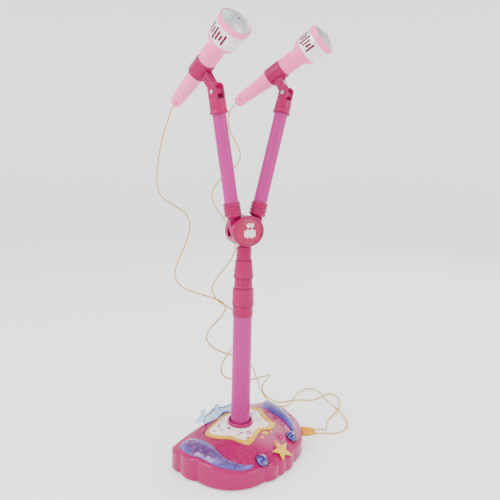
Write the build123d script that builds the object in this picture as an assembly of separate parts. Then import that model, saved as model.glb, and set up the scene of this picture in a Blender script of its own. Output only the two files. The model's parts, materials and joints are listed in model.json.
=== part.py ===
from build123d import *
import os
from math import cos, pi, radians, sin, sqrt, tan

os.makedirs("parts", exist_ok=True)

# Children's double microphone stand. Millimetres, +Z up. The origin is the middle of the
# centre foot pad, where the pole's axis meets the floor; shapes are drawn 5 mm lower and
# moved up when they are written. The arms stand in the XZ plane
# and the stand's front is -Y. The base is turned a little under the mast.

# ---------------------------------------------------------------- driving dimensions
base_turn = 16.0            # base about the pole, degrees
wall = 2.4                  # moulded wall of the base
floor_z = -5.0              # the floor; heights below are measured from 5 mm above it
wall_bottom = -2.5          # lower edge of the base's wall, on its rubber feet
dome_x = 217.0              # half axes of the ellipsoid that shapes the base's top
dome_y = 138.0
dome_z = 100.0
dome_centre_z = -60.0
pole_d = 30.0
pole_wall = 1.3
pole_bottom = 10.0
pole_top = 222.0
inner_d = 25.0
inner_wall = 1.2
inner_bottom = 40.0
inner_top = 285.0
run_fit = 0.05              # radial clearance of a running fit
hub_z = 344.0
hub_half_width = 28.0
hub_half_height = 24.5
hub_half_depth = 15.5
hub_wall = 2.2
arm_pivot_x = 17.0
arm_pivot_z = 346.0
arm_d = 22.0
arm_wall = 1.2
collar_start = 19.0         # distances along an arm, from its pivot
collar_end = 43.0
tube_start = 27.0
fork_start = 188.0
fork_collar_end = 211.0
tilt_at = 222.0
fork_gap = 12.4             # between the fork's ears
ear = 4.0
link_offset = 48.0          # tilt pivot to microphone axis
sleeve_d = 33.0
sleeve_bore = 29.4
sleeve_length = 30.0
sleeve_at = 91.0            # sleeve middle, from the microphone's tail
mic_length = 197.0
tongue = 9.0
cord_d = 2.2
plug_z = 14.0
# Each arm leans from upright, has its own reach, carries its fork turned about the arm,
# and tilts its microphone from the arm's line. Degrees, and reach in millimetres.
sides = {
    "left": dict(side=-1, lean=-10.2, reach=-6.0, twist=17.0, tilt=59.5),
    "right": dict(side=1, lean=14.2, reach=6.0, twist=22.0, tilt=52.5),
}

parts = {}


def rod(radius, z0, z1, x=0.0, y=0.0):
    """A cylinder along Z from z0 to z1."""
    return Pos(x, y, z0) * Cylinder(radius, z1 - z0, align=(Align.CENTER, Align.CENTER, Align.MIN))


def pipe(outer, inner, z0, z1, x=0.0, y=0.0):
    """A tube along Z from z0 to z1."""
    return rod(outer, z0, z1, x, y) - rod(inner, z0 - 1, z1 + 1, x, y)


def block(x0, x1, y0, y1, z0, z1):
    """A box between two corners."""
    box = Box(x1 - x0, y1 - y0, z1 - z0, align=(Align.MIN, Align.MIN, Align.MIN))
    return Pos(x0, y0, z0) * box


def turned(profile):
    """A solid turned about Z from (radius, z) points."""
    face = make_face(Plane.XZ * Polyline(profile, close=True))
    return revolve(face, Axis.Z)


def add(name, shape, place=None):
    """Keep a node, moved to its place."""
    parts[name] = shape if place is None else place * shape


# ---------------------------------------------------------------- base
base_place = Rotation(0, 0, base_turn)

# Corners where the scallops of the outline meet, each with the height of the scallop's
# arc from there to the next corner.
half_outline = [((8, -88), 3.5), ((32, -83), 19.0), ((100, -15), 4.5), ((105, 16), 4.5)]
back_corner = (100, 44)


def scalloped(shrink=0.0):
    """The base's outline as a face with arcs for edges, moved inwards by shrink."""
    right = [(p, bulge) for p, bulge in half_outline] + [(back_corner, 3.0)]
    bulges = [b for p, b in right] + [b for p, b in right[:-1]][::-1] + [2.0]
    corners = [Vector(*p) for p, b in right] + [Vector(-p[0], p[1]) for p, b in right][::-1]
    count = len(corners)
    outward = []
    for i in range(count):
        along = (corners[(i + 1) % count] - corners[i]).normalized()
        outward.append(Vector(along.Y, -along.X))
    inset = []
    for i in range(count):
        middle = (outward[i - 1] + outward[i]).normalized()
        inset.append(corners[i] - middle * (shrink / middle.dot(outward[i])))
    arcs = []
    for i in range(count):
        a, b = inset[i], inset[(i + 1) % count]
        arcs.append(ThreePointArc(a, (a + b) / 2 + outward[i] * bulges[i], b))
    return make_face(Wire(arcs))


def top_height(x, y):
    """Height of the base's domed top, in the base's own plan."""
    return dome_centre_z + dome_z * sqrt(1 - (x / dome_x) ** 2 - (y / dome_y) ** 2)


def dome(grow=0.0):
    """The ellipsoid under the base's top, grown outwards."""
    ball = scale(Sphere(1), by=(dome_x + grow, dome_y + grow, dome_z + grow))
    return Pos(0, 0, dome_centre_z) * ball


def layer(face, low, high):
    """A skin over the base's top: the plan face, from low to high above the dome."""
    column = extrude(face, 90)
    skin = column & dome(high)
    return skin - dome(low)


def star_face(outer, inner, points, turn=0.0):
    """A star-shaped face."""
    corners = []
    for i in range(2 * points):
        angle = radians(turn + i * 180.0 / points)
        r = outer if i % 2 == 0 else inner
        corners.append((r * sin(angle), r * cos(angle)))
    return make_face(Polyline(corners, close=True))


# panel around the pole: a soft wavy shape
panel_points = [
    (-4, 36), (-27, 28), (-46, 23), (-60, 14), (-56, -5), (-42, -22), (-35, -38), (-27, -47),
    (-11, -44), (9, -37), (27, -43), (41, -38), (42, -24), (47, -10), (56, 6), (51, 22), (25, 29),
]
panel_border = 0.86         # size of the panel inside its gold border
panel_shift = (-1.0, 2.0)   # the border is wider at the front


def panel_outline(size, shift=(0.0, 0.0)):
    """The panel's plan, scaled about the pole and moved."""
    points = [(x * size + shift[0], y * size + shift[1]) for x, y in panel_points]
    return make_face(Spline(points, periodic=True))


panel_face = panel_outline(1.0)
panel_inner = panel_outline(panel_border, panel_shift)

pole_hole = 18.2
socket_z = 6.0

# buttons: (place, lean of the button's axis towards the front)
star_at = (8.0, -78.0)
star_lean = 30.0
gem_at = {"left_gem_button": (-30.5, -75.0), "right_gem_button": (45.5, -67.5)}
gem_lean = 24.0
gem_turn = 12.0
stem_r = 3.0
button_lift = 2.4


def button_frame(x, y, lean, turn=0.0):
    """Frame on the top of the base, its Z along a button's axis."""
    return Pos(x, y, top_height(x, y)) * Rotation(0, 0, turn) * Rotation(lean, 0, 0)


star_frame = button_frame(*star_at, star_lean)
gem_frames = {}
for gem_name, gem_xy in gem_at.items():
    gem_way = gem_turn if gem_xy[0] > 0 else -gem_turn
    gem_frames[gem_name] = button_frame(*gem_xy, gem_lean, gem_way)

jack_way = Vector(0.722, -0.692)
jack_side = Vector(0.692, 0.722)
wall_middle = Vector(80.5, -61.4)
wall_radius = 70.4
jack_names = {"upper": 14.0, "lower": 4.0}


def jack_frame(shift):
    """Frame at the outer wall, its Z outwards along a jack's axis."""
    at = wall_middle + jack_side * shift - jack_way * (shift ** 2 / (2 * wall_radius))
    return Plane(origin=(at.X, at.Y, plug_z), z_dir=(jack_way.X, jack_way.Y, 0))


outline = scalloped()
shell = Pos(0, 0, wall_bottom) * extrude(outline, 60)
shell &= dome()
hollow = Pos(0, 0, wall_bottom - 1) * extrude(scalloped(wall), 60)
hollow &= dome(-wall)
shell -= hollow
boss = rod(pole_hole, socket_z, top_height(0, 0) - 1)
shell += boss & dome(-1)
shell -= rod(pole_d / 2, socket_z - 1, 60)
stem_hole = rod(stem_r + 0.4, -14, 20)
for frame in [star_frame] + list(gem_frames.values()):
    shell -= frame * stem_hole
for shift in jack_names.values():
    shell -= jack_frame(shift).location * rod(4.5, -12, 6)
speaker_at = (-55.0, -10.0)
for ring_r, count in ((0.0, 1), (6.0, 6), (12.0, 12)):
    for i in range(count):
        angle = radians(360.0 / count * i)
        sx = speaker_at[0] + ring_r * cos(angle)
        sy = speaker_at[1] + ring_r * sin(angle)
        shell -= rod(1.0, 20, 60, sx, sy)
add("base_shell", shell, base_place)

# bottom cover with posts for what it carries, and the battery bay
cover_gap = 0.3
bay = (30.0, 80.0, -27.0, 31.0)
cover_top = wall_bottom + 2.4
cover = extrude(scalloped(wall + cover_gap), cover_top - wall_bottom)
cover = Pos(0, 0, wall_bottom) * cover
cover += rod(15.5, cover_top, pole_bottom - 4.2)
cover += rod(14.0, pole_bottom - 4.2, pole_bottom)
board_z = 8.0
board_posts = [(-34, -66), (34, -66), (-34, -48), (34, -48)]
for x, y in board_posts:
    cover += rod(2.5, cover_top, board_z, x, y)
speaker_z = 12.0
for angle in (90, 210, 330):
    x = speaker_at[0] + 15 * cos(radians(angle))
    y = speaker_at[1] + 15 * sin(radians(angle))
    cover += rod(2.5, cover_top, speaker_z, x, y)
screw_spots = [(-84, -24), (84, -24), (-84, 28), (92, 30)]
for x, y in screw_spots:
    cover += rod(4.0, cover_top, 14, x, y)
    cover -= rod(1.5, wall_bottom - 1, 11, x, y)
tray = block(bay[0] - 2, bay[1] + 2, bay[2] - 2, bay[3] + 2, cover_top, 13)
cover += tray - block(bay[0], bay[1], bay[2], bay[3], cover_top - 1, 20)
cover -= block(bay[0], bay[1], bay[2], bay[3], wall_bottom - 1, cover_top + 1)
add("bottom_cover", cover, base_place)
door = block(bay[0], bay[1], bay[2], bay[3], wall_bottom, cover_top)
for i in range(6):
    door -= block(bay[0] + 8, bay[1] - 8, -15 + 6 * i, -13 + 6 * i, wall_bottom - 1, wall_bottom + 0.6)
add("battery_door", door, base_place)

cells = []
cell_r = 7.1
for i in range(3):
    x = bay[0] + 9.5 + 15.5 * i
    cell = rod(cell_r, 0, 49) + rod(2.6, 49, 50.2)
    way = 1 if i % 2 == 0 else -1
    laid = Pos(x, 1.8 - 25.0 * way, cover_top + cell_r) * Rotation(-90 * way, 0, 0) * cell
    cells.append(laid)
add("batteries", Compound(children=cells), base_place)
strips = []
for y0 in (bay[2] + 0.1, bay[3] - 0.9):
    strips.append(block(bay[0], bay[1], y0, y0 + 0.8, cover_top, cover_top + 11))
add("battery_contacts", Compound(children=strips), base_place)

speaker = pipe(18.0, 13.0, speaker_z, speaker_z + 3, *speaker_at)
speaker += rod(13.0, speaker_z + 1, speaker_z + 2.2, *speaker_at)
speaker += rod(8.0, speaker_z - 5, speaker_z + 1, *speaker_at)
add("speaker", speaker, base_place)
board = block(-42, 42, -78, -44, board_z, board_z + 1.6)
board += block(-12, 12, -60, -50, board_z + 1.6, board_z + 3.6)
board += rod(3.0, board_z + 1.6, board_z + 5.0, -26, -54)

screws = []
for x, y in screw_spots:
    screws.append(rod(1.5, wall_bottom + 0.2, 11, x, y))
add("cover_screws", Compound(children=screws), base_place)
pads = [rod(9.0, floor_z, wall_bottom)]
for x, y in [(-92, 28), (92, 14), (-84, -34), (84, -34), (-22, -76), (22, -76)]:
    pads.append(rod(6.0, floor_z, wall_bottom, x, y))
add("rubber_feet", Compound(children=pads), base_place)

# trims on the top
collar_face = Circle(20.2) - Circle(pole_d / 2)
pole_collar = layer(collar_face, 0.0, 6.0)
pole_collar -= Pos(0, 0, 44) * Cone(15, 18.4, 4.2, align=(Align.CENTER, Align.CENTER, Align.MIN))
add("pole_collar", pole_collar, base_place)
hole = Circle(20.2)
add("panel_plate", layer(panel_inner - hole, 0.0, 1.6), base_place)
gold = [layer(panel_face - panel_inner - hole, 0.0, 3.0)]

left_outer = [(-47, -75), (-62, -70.5), (-75.5, -60), (-86, -47), (-92.5, -32.5), (-96, -16),
              (-101, -2), (-101, 15), (-98, 31)]
left_inner = [(-88, 32), (-78, 27), (-71, 13), (-69, -4), (-69, -17), (-71, -29), (-72, -42),
              (-68, -54), (-57, -65.5), (-47, -71.5)]
right_outer = [(58, -65), (68, -58), (78, -46), (87, -30), (93, -14), (99, 0), (101, 15), (98, 31)]
right_inner = [(88, 32), (78, 27), (69, 14), (65, 2), (64.5, -17), (64.5, -34), (61, -49), (56, -61)]
for name, edge in (("left_tail", left_outer + left_inner), ("right_tail", right_outer + right_inner)):
    tail_face = make_face(Spline(edge, periodic=True))
    body = layer(tail_face, 0.0, 7.0)
    body -= layer(panel_face, -1.0, 20.0)
    add(name, body, base_place)

# water-splash ornament on the back rim
bubbles = [(-20, 42, 13), (-5, 43, 10), (-34, 41, 8.5), (-45, 46, 5.5), (-52, 45, 4.5), (-41.5, 54.0, 5),
           (-12, 52.5, 5), (8, 41, 9), (20, 42, 7), (27, 46, 4.5)]
splash_face = Sketch() + [Pos(x, z) * Circle(r) for x, z, r in bubbles]
splash = Pos(0, 45.5, 0) * Rotation(90, 0, 0) * extrude(splash_face, 7)
splash -= dome()
add("splash_ornament", splash, base_place)

for x, y, turn in ((18, -52, 25), (24, -44, 60), (9, -58, -10)):
    leaf = Pos(x, y) * Rotation(0, 0, turn) * Ellipse(5.2, 2.2)
    gold.append(layer(leaf - panel_face, 0.0, 1.4))
add("gold_trim", Compound(children=gold), base_place)

# buttons


def stem_tip(frame):
    """Length of stem that ends just over the circuit board's switch."""
    return (frame.position.Z - board_z - 6.4) / frame.z_axis.direction.Z


star = extrude(star_face(17.0, 7.2, 5), 2.6)
star += Pos(0, 0, 2.6) * loft([star_face(15.5, 6.4, 5), Pos(0, 0, 4.2) * star_face(2.0, 0.9, 5)])
star = Pos(0, 0, button_lift) * star + rod(stem_r, -stem_tip(star_frame), button_lift)
add("star_button", star_frame * star, base_place)
for gem_name, frame in gem_frames.items():
    cap = Pos(0, 0, -5) * Sphere(11.5) & rod(9.4, 0, 12)
    gem = Pos(0, 0, button_lift) * cap + rod(stem_r, -stem_tip(frame), button_lift)
    add(gem_name, frame * gem, base_place)
for frame in [star_frame] + list(gem_frames.values()):
    tip = (frame * Pos(0, 0, -stem_tip(frame))).position
    board += block(tip.X - 4, tip.X + 4, tip.Y - 4, tip.Y + 4, board_z + 1.6, board_z + 3.4)
add("circuit_board", board, base_place)

# jacks and plugs
plug_length = 24.0
jacks = []
for name, shift in jack_names.items():
    at = jack_frame(shift).location
    jack = rod(4.5, -11, 1.0) - rod(1.85, -15, 5)
    jacks.append(at * jack)
    plug = turned([(0, -10), (1.2, -10), (1.75, -9), (1.75, 1.2), (4.4, 1.2), (4.4, 14), (3.4, 17),
                   (2.2, plug_length), (1.35, plug_length), (1.35, plug_length - 4), (0, plug_length - 4)])
    add(name + "_plug", at * plug, base_place)
add("cord_jacks", Compound(children=jacks), base_place)

# ---------------------------------------------------------------- pole and mast
add("lower_tube", pipe(pole_d / 2, pole_d / 2 - pole_wall, pole_bottom, pole_top))
jaw_bore = inner_d / 2 + run_fit
lock_body = pipe(16.2, pole_d / 2, 210, pole_top) + pipe(16.2, jaw_bore, pole_top, 226)
lock_body += pipe(14.6, jaw_bore, 226, 253.4)
for z in (212.5, 223.5):
    lock_body += pipe(16.6, 15.5, z - 0.8, z + 0.8)
add("lock_body", lock_body)
nut = turned([(14.6 + run_fit, 226.3), (17.4, 226.3), (17.6, 230), (17.0, 250), (16.4, 253),
              (14.6 + run_fit, 253)])
add("lock_nut", nut)
jaw = turned([(jaw_bore, 253.4), (14.5, 253.4), (14.7, 256), (14.2, 268.6), (jaw_bore, 268.6)])
for i in range(12):
    jaw -= Rotation(0, 0, 30 * i) * block(13.4, 20, -0.8, 0.8, 259, 267)
add("lock_jaw", jaw)
guide_r = pole_d / 2 - pole_wall - run_fit
add("inner_tube", pipe(inner_d / 2, inner_d / 2 - inner_wall, inner_bottom, inner_top))
add("guide_bush", pipe(guide_r, inner_d / 2, inner_bottom, inner_bottom + 14))
connector = turned([(inner_d / 2, 269), (15.9, 269), (16.1, 273), (15.3, 275), (13.7, 294), (13.3, 297),
                    (6.0, 297), (6.0, inner_top), (inner_d / 2, inner_top)])
for i in range(24):
    connector -= Rotation(0, 0, 15 * i) * block(15.3, 20, -0.7, 0.7, 268, 272)
add("connector_sleeve", connector)

# ---------------------------------------------------------------- hub
neck = turned([(0, 286), (5.95, 286), (5.95, 297.2), (11.6, 297.2), (11.6, 318.6), (7.0, 318.6),
               (7.0, 325), (9.5, 325), (9.5, 328), (0, 328)])
for z in (299.4, 304.4, 309.4, 314.4):
    neck += pipe(12.5, 11.0, z - 1.1, z + 1.1)
add("hub_neck", neck)

hub_middle = Pos(0, 0, hub_z) * Rotation(90, 0, 0)


def hub_slab(shrink, y0, y1):
    """The hub's oval, from y0 to y1."""
    oval = Ellipse(hub_half_width - shrink, hub_half_height - shrink)
    return Pos(0, y1, 0) * hub_middle * extrude(oval, y1 - y0)


slot_half = tongue / 2 + 0.4
pin_r = 2.5
for name, sign in (("hub_front_shell", -1), ("hub_rear_shell", 1)):
    y_in, y_out = 0.0, sign * hub_half_depth
    y0, y1 = min(y_in, y_out), max(y_in, y_out)
    half = hub_slab(0.0, y0, y1)
    rim = half.edges().filter_by(GeomType.ELLIPSE).sort_by(Axis.Y)
    half = fillet(rim[0] if sign < 0 else rim[-1], 2.5)
    floor_y = sign * (hub_half_depth - hub_wall - (1.2 if sign < 0 else 0.0))
    half -= hub_slab(hub_wall, min(0.0, floor_y), max(0.0, floor_y))
    for x in (-arm_pivot_x, arm_pivot_x):
        post = Pos(x, 0, arm_pivot_z) * Rotation(90, 0, 0) * Cylinder(5.0, 40)
        post &= block(-40, 40, min(sign * slot_half, floor_y), max(sign * slot_half, floor_y), 300, 400)
        half += post & hub_slab(0.5, -16, 16)
        half -= Pos(x, 0, arm_pivot_z) * Rotation(90, 0, 0) * Cylinder(pin_r, 24)
    for z in (hub_z - 12, hub_z + 14):
        post = Pos(0, 0, z) * Rotation(90, 0, 0) * Cylinder(3.4, 40)
        half += post & block(-40, 40, min(0.0, floor_y), max(0.0, floor_y), 300, 400)
        half -= Pos(0, 0, z) * Rotation(90, 0, 0) * Cylinder(1.2, 20 if sign < 0 else 60)
    for x0, x1 in ((-40, -7), (7, 40)):
        half -= block(x0, x1, -slot_half, slot_half, arm_pivot_z - 10.5, 400)
    half -= rod(7.0, 310, 326)
    half -= rod(9.5, 325, 328)
    if sign < 0:
        half -= hub_slab(5.0, -hub_half_depth - 1, -hub_half_depth + 1.2)
    parts[name] = half
add("hub_badge", hub_slab(5.0, -hub_half_depth + 0.2, -hub_half_depth + 1.2))
pins = []
for x in (-arm_pivot_x, arm_pivot_x):
    pins.append(Pos(x, 0, arm_pivot_z) * Rotation(90, 0, 0) * Cylinder(pin_r, 24))
add("arm_pins", Compound(children=pins))
hub_screws = []
for z in (hub_z - 12, hub_z + 14):
    shank = Pos(0, 3.4, z) * Rotation(90, 0, 0) * Cylinder(1.2, 23.8)
    hub_screws.append(shank)
add("hub_screws", Compound(children=hub_screws))

# ---------------------------------------------------------------- arms and clips


def make_knuckle():
    """Ribbed collar and the tongue that turns in the hub; the pivot is the origin."""
    body = turned([(0, collar_start), (7.5, collar_start), (12.8, collar_start + 3.5), (13.0, collar_end),
                   (0, collar_end)])
    for s in (24.5, 30.0, 35.5, 41.0):
        body += pipe(13.8, 12.0, s - 1.4, s + 1.4)
    body -= rod(arm_d / 2, tube_start, 60)
    plate = Rotation(90, 0, 0) * Cylinder(9.0, tongue)
    plate += block(-9, 9, -tongue / 2, tongue / 2, 0, collar_start + 0.5)
    body += plate
    return body - Rotation(90, 0, 0) * Cylinder(pin_r + run_fit, 30)


def make_fork():
    """Flared socket with two ears; the arm's pivot is the origin."""
    body = turned([(0, fork_start), (14.6, fork_start), (14.9, fork_start + 2), (13.4, fork_start + 5),
                   (13.2, fork_collar_end - 1), (12.6, fork_collar_end), (0, fork_collar_end)])
    body -= rod(arm_d / 2 + run_fit, fork_start - 1, fork_start + 17)
    for way in (-1, 1):
        x0 = way * fork_gap / 2
        x1 = way * (fork_gap / 2 + ear)
        side = block(min(x0, x1), max(x0, x1), -8.4, 8.4, fork_collar_end - 1, tilt_at + 6)
        side += Pos((x0 + x1) / 2, 0, tilt_at + 6) * Rotation(0, 90, 0) * Cylinder(8.4, ear)
        body += side
    body -= Pos(0, 0, tilt_at) * Rotation(0, 90, 0) * Cylinder(2.0, 60)
    return body


def make_link():
    """Channel link and round sleeve; the tilt pivot is the origin, the sleeve is along Z."""
    half = 6.0
    link = Rotation(0, 90, 0) * Cylinder(7.6, 2 * half)
    link += block(-half, half, 0, link_offset - 8, -7.0, 7.0)
    link -= block(-half + 2.4, half - 2.4, 9, link_offset - sleeve_d / 2 - 2, -9, 4.4)
    link += Pos(0, link_offset, 0) * rod(sleeve_d / 2, -sleeve_length / 2, sleeve_length / 2)
    link -= Pos(0, link_offset, 0) * rod(sleeve_bore / 2, -30, 30)
    return link - Rotation(0, 90, 0) * Cylinder(2.0 + run_fit, 40)


def make_screw():
    """Tilt screw with its head in one side and its nut on the other; the axis is X."""
    reach = fork_gap / 2 + ear
    screw = Rotation(0, 90, 0) * Cylinder(2.0, 2 * reach)
    for way in (-1, 1):
        screw += Pos(way * (reach + 0.9), 0, 0) * Rotation(0, 90, 0) * Cylinder(3.6, 1.8)
    return screw


# ---------------------------------------------------------------- microphones
# Stations along a microphone, from its tail.
grip_start = 107.0
neck_at = 134.0
cone_start = 138.0
shoulder_at = 148.5
band_start = 153.0
band_end = 180.0
rim_end = 190.0
dome_rise = 6.6


def make_handle():
    """Tapered handle with a ribbed grip, hollow, on Z from the tail."""
    outer = [(3.2, 0), (7.6, 0), (9.4, 2.4), (10.2, 8), (14.2, 80), (14.4, 106.4), (14.9, grip_start)]
    outer += [(15.6, neck_at - 4), (14.6, neck_at), (14.9, cone_start)]
    inner = [(13.0, cone_start), (13.0, neck_at), (12.4, 100), (12.2, 80), (8.4, 8), (7.8, 4), (3.2, 4)]
    body = turned(outer + inner)
    for i in range(6):
        z = grip_start + 2.5 + 4.1 * i
        body += pipe(15.9, 14.0, z - 0.9, z + 0.9)
    return body - Pos(0, 0, 13) * Rotation(90, 0, 0) * Cylinder(1.4, 40)


def make_head():
    """Cone and barrel of the head."""
    outer = [(14.9, cone_start), (16.2, cone_start + 1), (21.6, shoulder_at - 1), (24.2, shoulder_at + 0.6),
             (24.4, band_start), (23.5, band_start), (25.0, band_end)]
    inner = [(23.0, band_end), (21.6, band_start), (14.4, cone_start + 1.5), (13.0, cone_start + 1.5),
             (13.0, cone_start)]
    return turned(outer + inner)


def make_band():
    """Label band around the barrel."""
    low, high = 23.5, 25.0
    return turned([(low, band_start), (low + 0.6, band_start), (high + 0.6, band_end), (high, band_end)])


def make_rim():
    """Rim ring that holds the grille."""
    return turned([(21.5, band_end), (26.2, band_end), (26.6, band_end + 2), (26.8, rim_end - 1.5),
                   (26.0, rim_end), (24.6, rim_end), (24.6, band_end + 5), (21.5, band_end + 5)])


def make_grille():
    """Domed grille shell."""
    rim_r = 24.6
    radius = (rim_r ** 2 + dome_rise ** 2) / (2 * dome_rise)
    ball = Pos(0, 0, rim_end - 0.4 + dome_rise - radius) * (Sphere(radius) - Sphere(radius - 1.4))
    cap = ball & rod(rim_r, band_end + 5, mic_length + 2)
    return cap + pipe(rim_r, rim_r - 1.4, band_end + 5, rim_end - 1)


def make_capsule():
    """Microphone capsule on its bridge under the grille."""
    bridge = block(-23, 23, -4, 4, band_end - 3, band_end - 1) & rod(22.7, 100, 200)
    return bridge + rod(5.0, band_end - 1, band_end + 6)


def make_grommet():
    """Grommet in the tail, bored for the cord."""
    return pipe(3.2, cord_d / 2 + 0.25, -1.0, 4.0) + pipe(4.6, cord_d / 2 + 0.25, -2.2, 0.0)


frames = {}
for name, s in sides.items():
    arm = Pos(s["side"] * arm_pivot_x, 0, arm_pivot_z) * Rotation(0, s["lean"], 0)
    fork = arm * Pos(0, 0, s["reach"]) * Rotation(0, 0, s["twist"])
    clip = fork * Pos(0, 0, tilt_at) * Rotation(s["tilt"], 0, 0)
    mic = clip * Pos(0, link_offset, -sleeve_at)
    frames[name] = dict(arm=arm, fork=fork, clip=clip, mic=mic)
    add(name + "_knuckle", make_knuckle(), arm)
    tube = pipe(arm_d / 2, arm_d / 2 - arm_wall, tube_start + 1, fork_start + 16.7 + s["reach"])
    add(name + "_arm_tube", tube, arm)
    add(name + "_fork", make_fork(), fork)
    add(name + "_tilt_screw", make_screw(), fork * Pos(0, 0, tilt_at))
    add(name + "_clip", make_link(), clip)
    add(name + "_mic_handle", make_handle(), mic)
    add(name + "_mic_head", make_head(), mic)
    add(name + "_mic_band", make_band(), mic)
    add(name + "_mic_rim", make_rim(), mic)
    add(name + "_mic_grille", make_grille(), mic)
    add(name + "_mic_capsule", make_capsule(), mic)
    add(name + "_mic_grommet", make_grommet(), mic)

# ---------------------------------------------------------------- cords
# Each cord runs from its microphone's tail down behind the arms and the pole to the floor
# at the right, and back to its plug. The points are the corners of its runs.
cord_routes = {
    "left_cord": [
        (-83.65, 96.63, 549.6), (-85.86, 108.17, 541.98), (-91, 108.5, 525), (-100, 102, 501.5),
        (-108.5, 96.5, 475), (-114, 92, 445), (-116, 90, 415), (-110, 88, 394), (-90, 84, 380),
        (-67, 79, 367), (-60, 76, 347), (-67, 74, 320), (-82, 70, 293), (-91, 68, 271), (-84, 64, 251),
        (-60, 60, 239), (-31, 56, 228), (-10, 53, 220), (-3, 49, 208), (-17, 46, 193), (-37, 44, 180),
        (-44, 43, 166), (-32, 45, 149), (-7, 48, 134), (22, 53, 121), (47, 60, 106), (68, 74, 82),
        (84, 88, 55), (97, 96, 30), (111, 96, 9.1), (125, 86.5, -0.5), (142.5, 75.5, -1.2),
        (158, 82, 0.7), (171, 93, 1.9), (188.5, 106.5, 0.7), (211.5, 119.5, -2.9), (228, 122, -3.7),
        (233.5, 106, -1.7), (228.5, 87, 1.9), (222.5, 67, 1.5), (218.5, 44.5, 1.9), (216.5, 20.5, 1.9),
        (214, -3, -1.7), (205.5, -23, -3.7), (188, -35.5, -2.3), (167, -44.5, 1.9), (147.5, -51.5, 7.9),
        (127.92, -50.02, 14), (115.53, -43.5, 14),
    ],
    "right_cord": [
        (32.73, 92.56, 560.6), (26.6, 102.86, 553.36), (19.5, 102.5, 537), (15, 92, 512.5),
        (23.5, 82.5, 490), (32, 74, 469), (21, 66, 448), (-6, 59, 431), (-28, 54, 413), (-36, 51, 398),
        (-30, 47, 378), (-13, 43, 356), (3, 39, 332), (6, 37, 308), (-5, 38, 287), (-24, 40, 267),
        (-37, 41, 249), (-31, 39, 230), (-13, 37, 217), (10, 35, 203), (25, 34, 181), (15, 34, 158),
        (-6, 37, 136), (-18, 40, 115), (-9, 46, 95), (20, 54, 81), (54, 63, 71), (88, 74, 66),
        (112, 86, 62), (113, 99, 48), (108, 112, 30), (117.5, 119, 9.1), (130.5, 109, -1.7),
        (144, 95.5, -3.7), (166, 96.5, -3.7), (186.5, 87.5, -3.7), (203.5, 76.5, -3.7), (229, 80.5, -3.7),
        (253, 86.5, -3.7), (258, 66, -3.7), (242, 40, -3.7), (212.5, 18.5, -3.7), (187.5, 7.5, -3.3),
        (170.5, -5.5, -0.5), (156.5, -23.5, 4.3), (144.5, -38, 9.1), (131.45, -40.58, 14),
        (119.06, -34.05, 14),
    ],
}


def cord_radii(points):
    """The largest arc that each corner's two runs leave room for."""
    radii = []
    for i in range(1, len(points) - 1):
        before = points[i] - points[i - 1]
        after = points[i + 1] - points[i]
        half_turn = radians(before.get_angle(after)) / 2
        radii.append(0.45 * min(before.length, after.length) / tan(half_turn))
    return radii


for name, route in cord_routes.items():
    points = [Vector(*p) for p in route]
    radii = cord_radii(points)
    path = FilletPolyline(*points, radius=radii)
    section = Plane(origin=path @ 0, z_dir=path % 0) * Circle(cord_d / 2)
    add(name, sweep(section, path=path))
    expected = path.length * pi * cord_d ** 2 / 4
    print(name, "length", round(path.length), "volume ratio", round(parts[name].volume / expected, 4))
    print(name, "radii", [round(r, 1) for r in radii])

stand_up = Pos(0, 0, -floor_z)
for part_name, shape in parts.items():
    solids = [stand_up * solid for solid in shape.solids()]
    export_step(Compound(children=solids) if len(solids) > 1 else solids[0], f"parts/{part_name}.step")
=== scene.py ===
import json
from math import atan2, ceil, cos, hypot, pi, radians, sin, sqrt

import bmesh
import bpy
from mathutils import Matrix, Vector


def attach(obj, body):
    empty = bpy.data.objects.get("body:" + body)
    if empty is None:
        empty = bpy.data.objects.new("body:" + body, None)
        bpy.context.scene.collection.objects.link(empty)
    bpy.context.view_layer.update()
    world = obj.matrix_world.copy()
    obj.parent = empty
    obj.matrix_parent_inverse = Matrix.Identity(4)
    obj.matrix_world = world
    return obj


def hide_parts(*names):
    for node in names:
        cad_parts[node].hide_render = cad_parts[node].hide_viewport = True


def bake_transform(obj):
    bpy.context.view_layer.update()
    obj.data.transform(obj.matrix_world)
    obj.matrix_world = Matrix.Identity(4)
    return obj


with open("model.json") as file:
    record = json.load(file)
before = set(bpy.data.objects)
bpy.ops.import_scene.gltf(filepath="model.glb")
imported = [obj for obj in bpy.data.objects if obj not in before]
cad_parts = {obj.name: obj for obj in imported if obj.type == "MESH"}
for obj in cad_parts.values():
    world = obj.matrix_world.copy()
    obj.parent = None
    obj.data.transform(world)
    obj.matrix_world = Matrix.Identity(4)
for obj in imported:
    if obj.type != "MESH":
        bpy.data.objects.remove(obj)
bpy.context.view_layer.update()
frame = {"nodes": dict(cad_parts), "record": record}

MM = 0.001

# ---------------------------------------------------------------- sizes, in millimetres
BASE_TURN = 16.0
DOME = (217.0, 138.0, 100.0)
DOME_Z = -60.0
POLE_R = 15.0
FOOT = -2.5                 # lower edge of the wall; heights are measured from RISE above the floor
RISE = 5.0
HUB_Z = 344.0
ARM_PIVOT = (17.0, 346.0)
TILT_AT = 222.0
LINK = 48.0
SLEEVE_AT = 91.0
CORD_D = 2.2
SIDES = {
    "left": dict(side=-1, lean=-10.2, reach=-6.0, twist=17.0, tilt=59.5),
    "right": dict(side=1, lean=14.2, reach=6.0, twist=22.0, tilt=52.5),
}


# ---------------------------------------------------------------- frames
def at(x=0.0, y=0.0, z=0.0):
    return Matrix.Translation((x, y, z))


def turn(angle, axis):
    return Matrix.Rotation(radians(angle), 4, axis)


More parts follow.
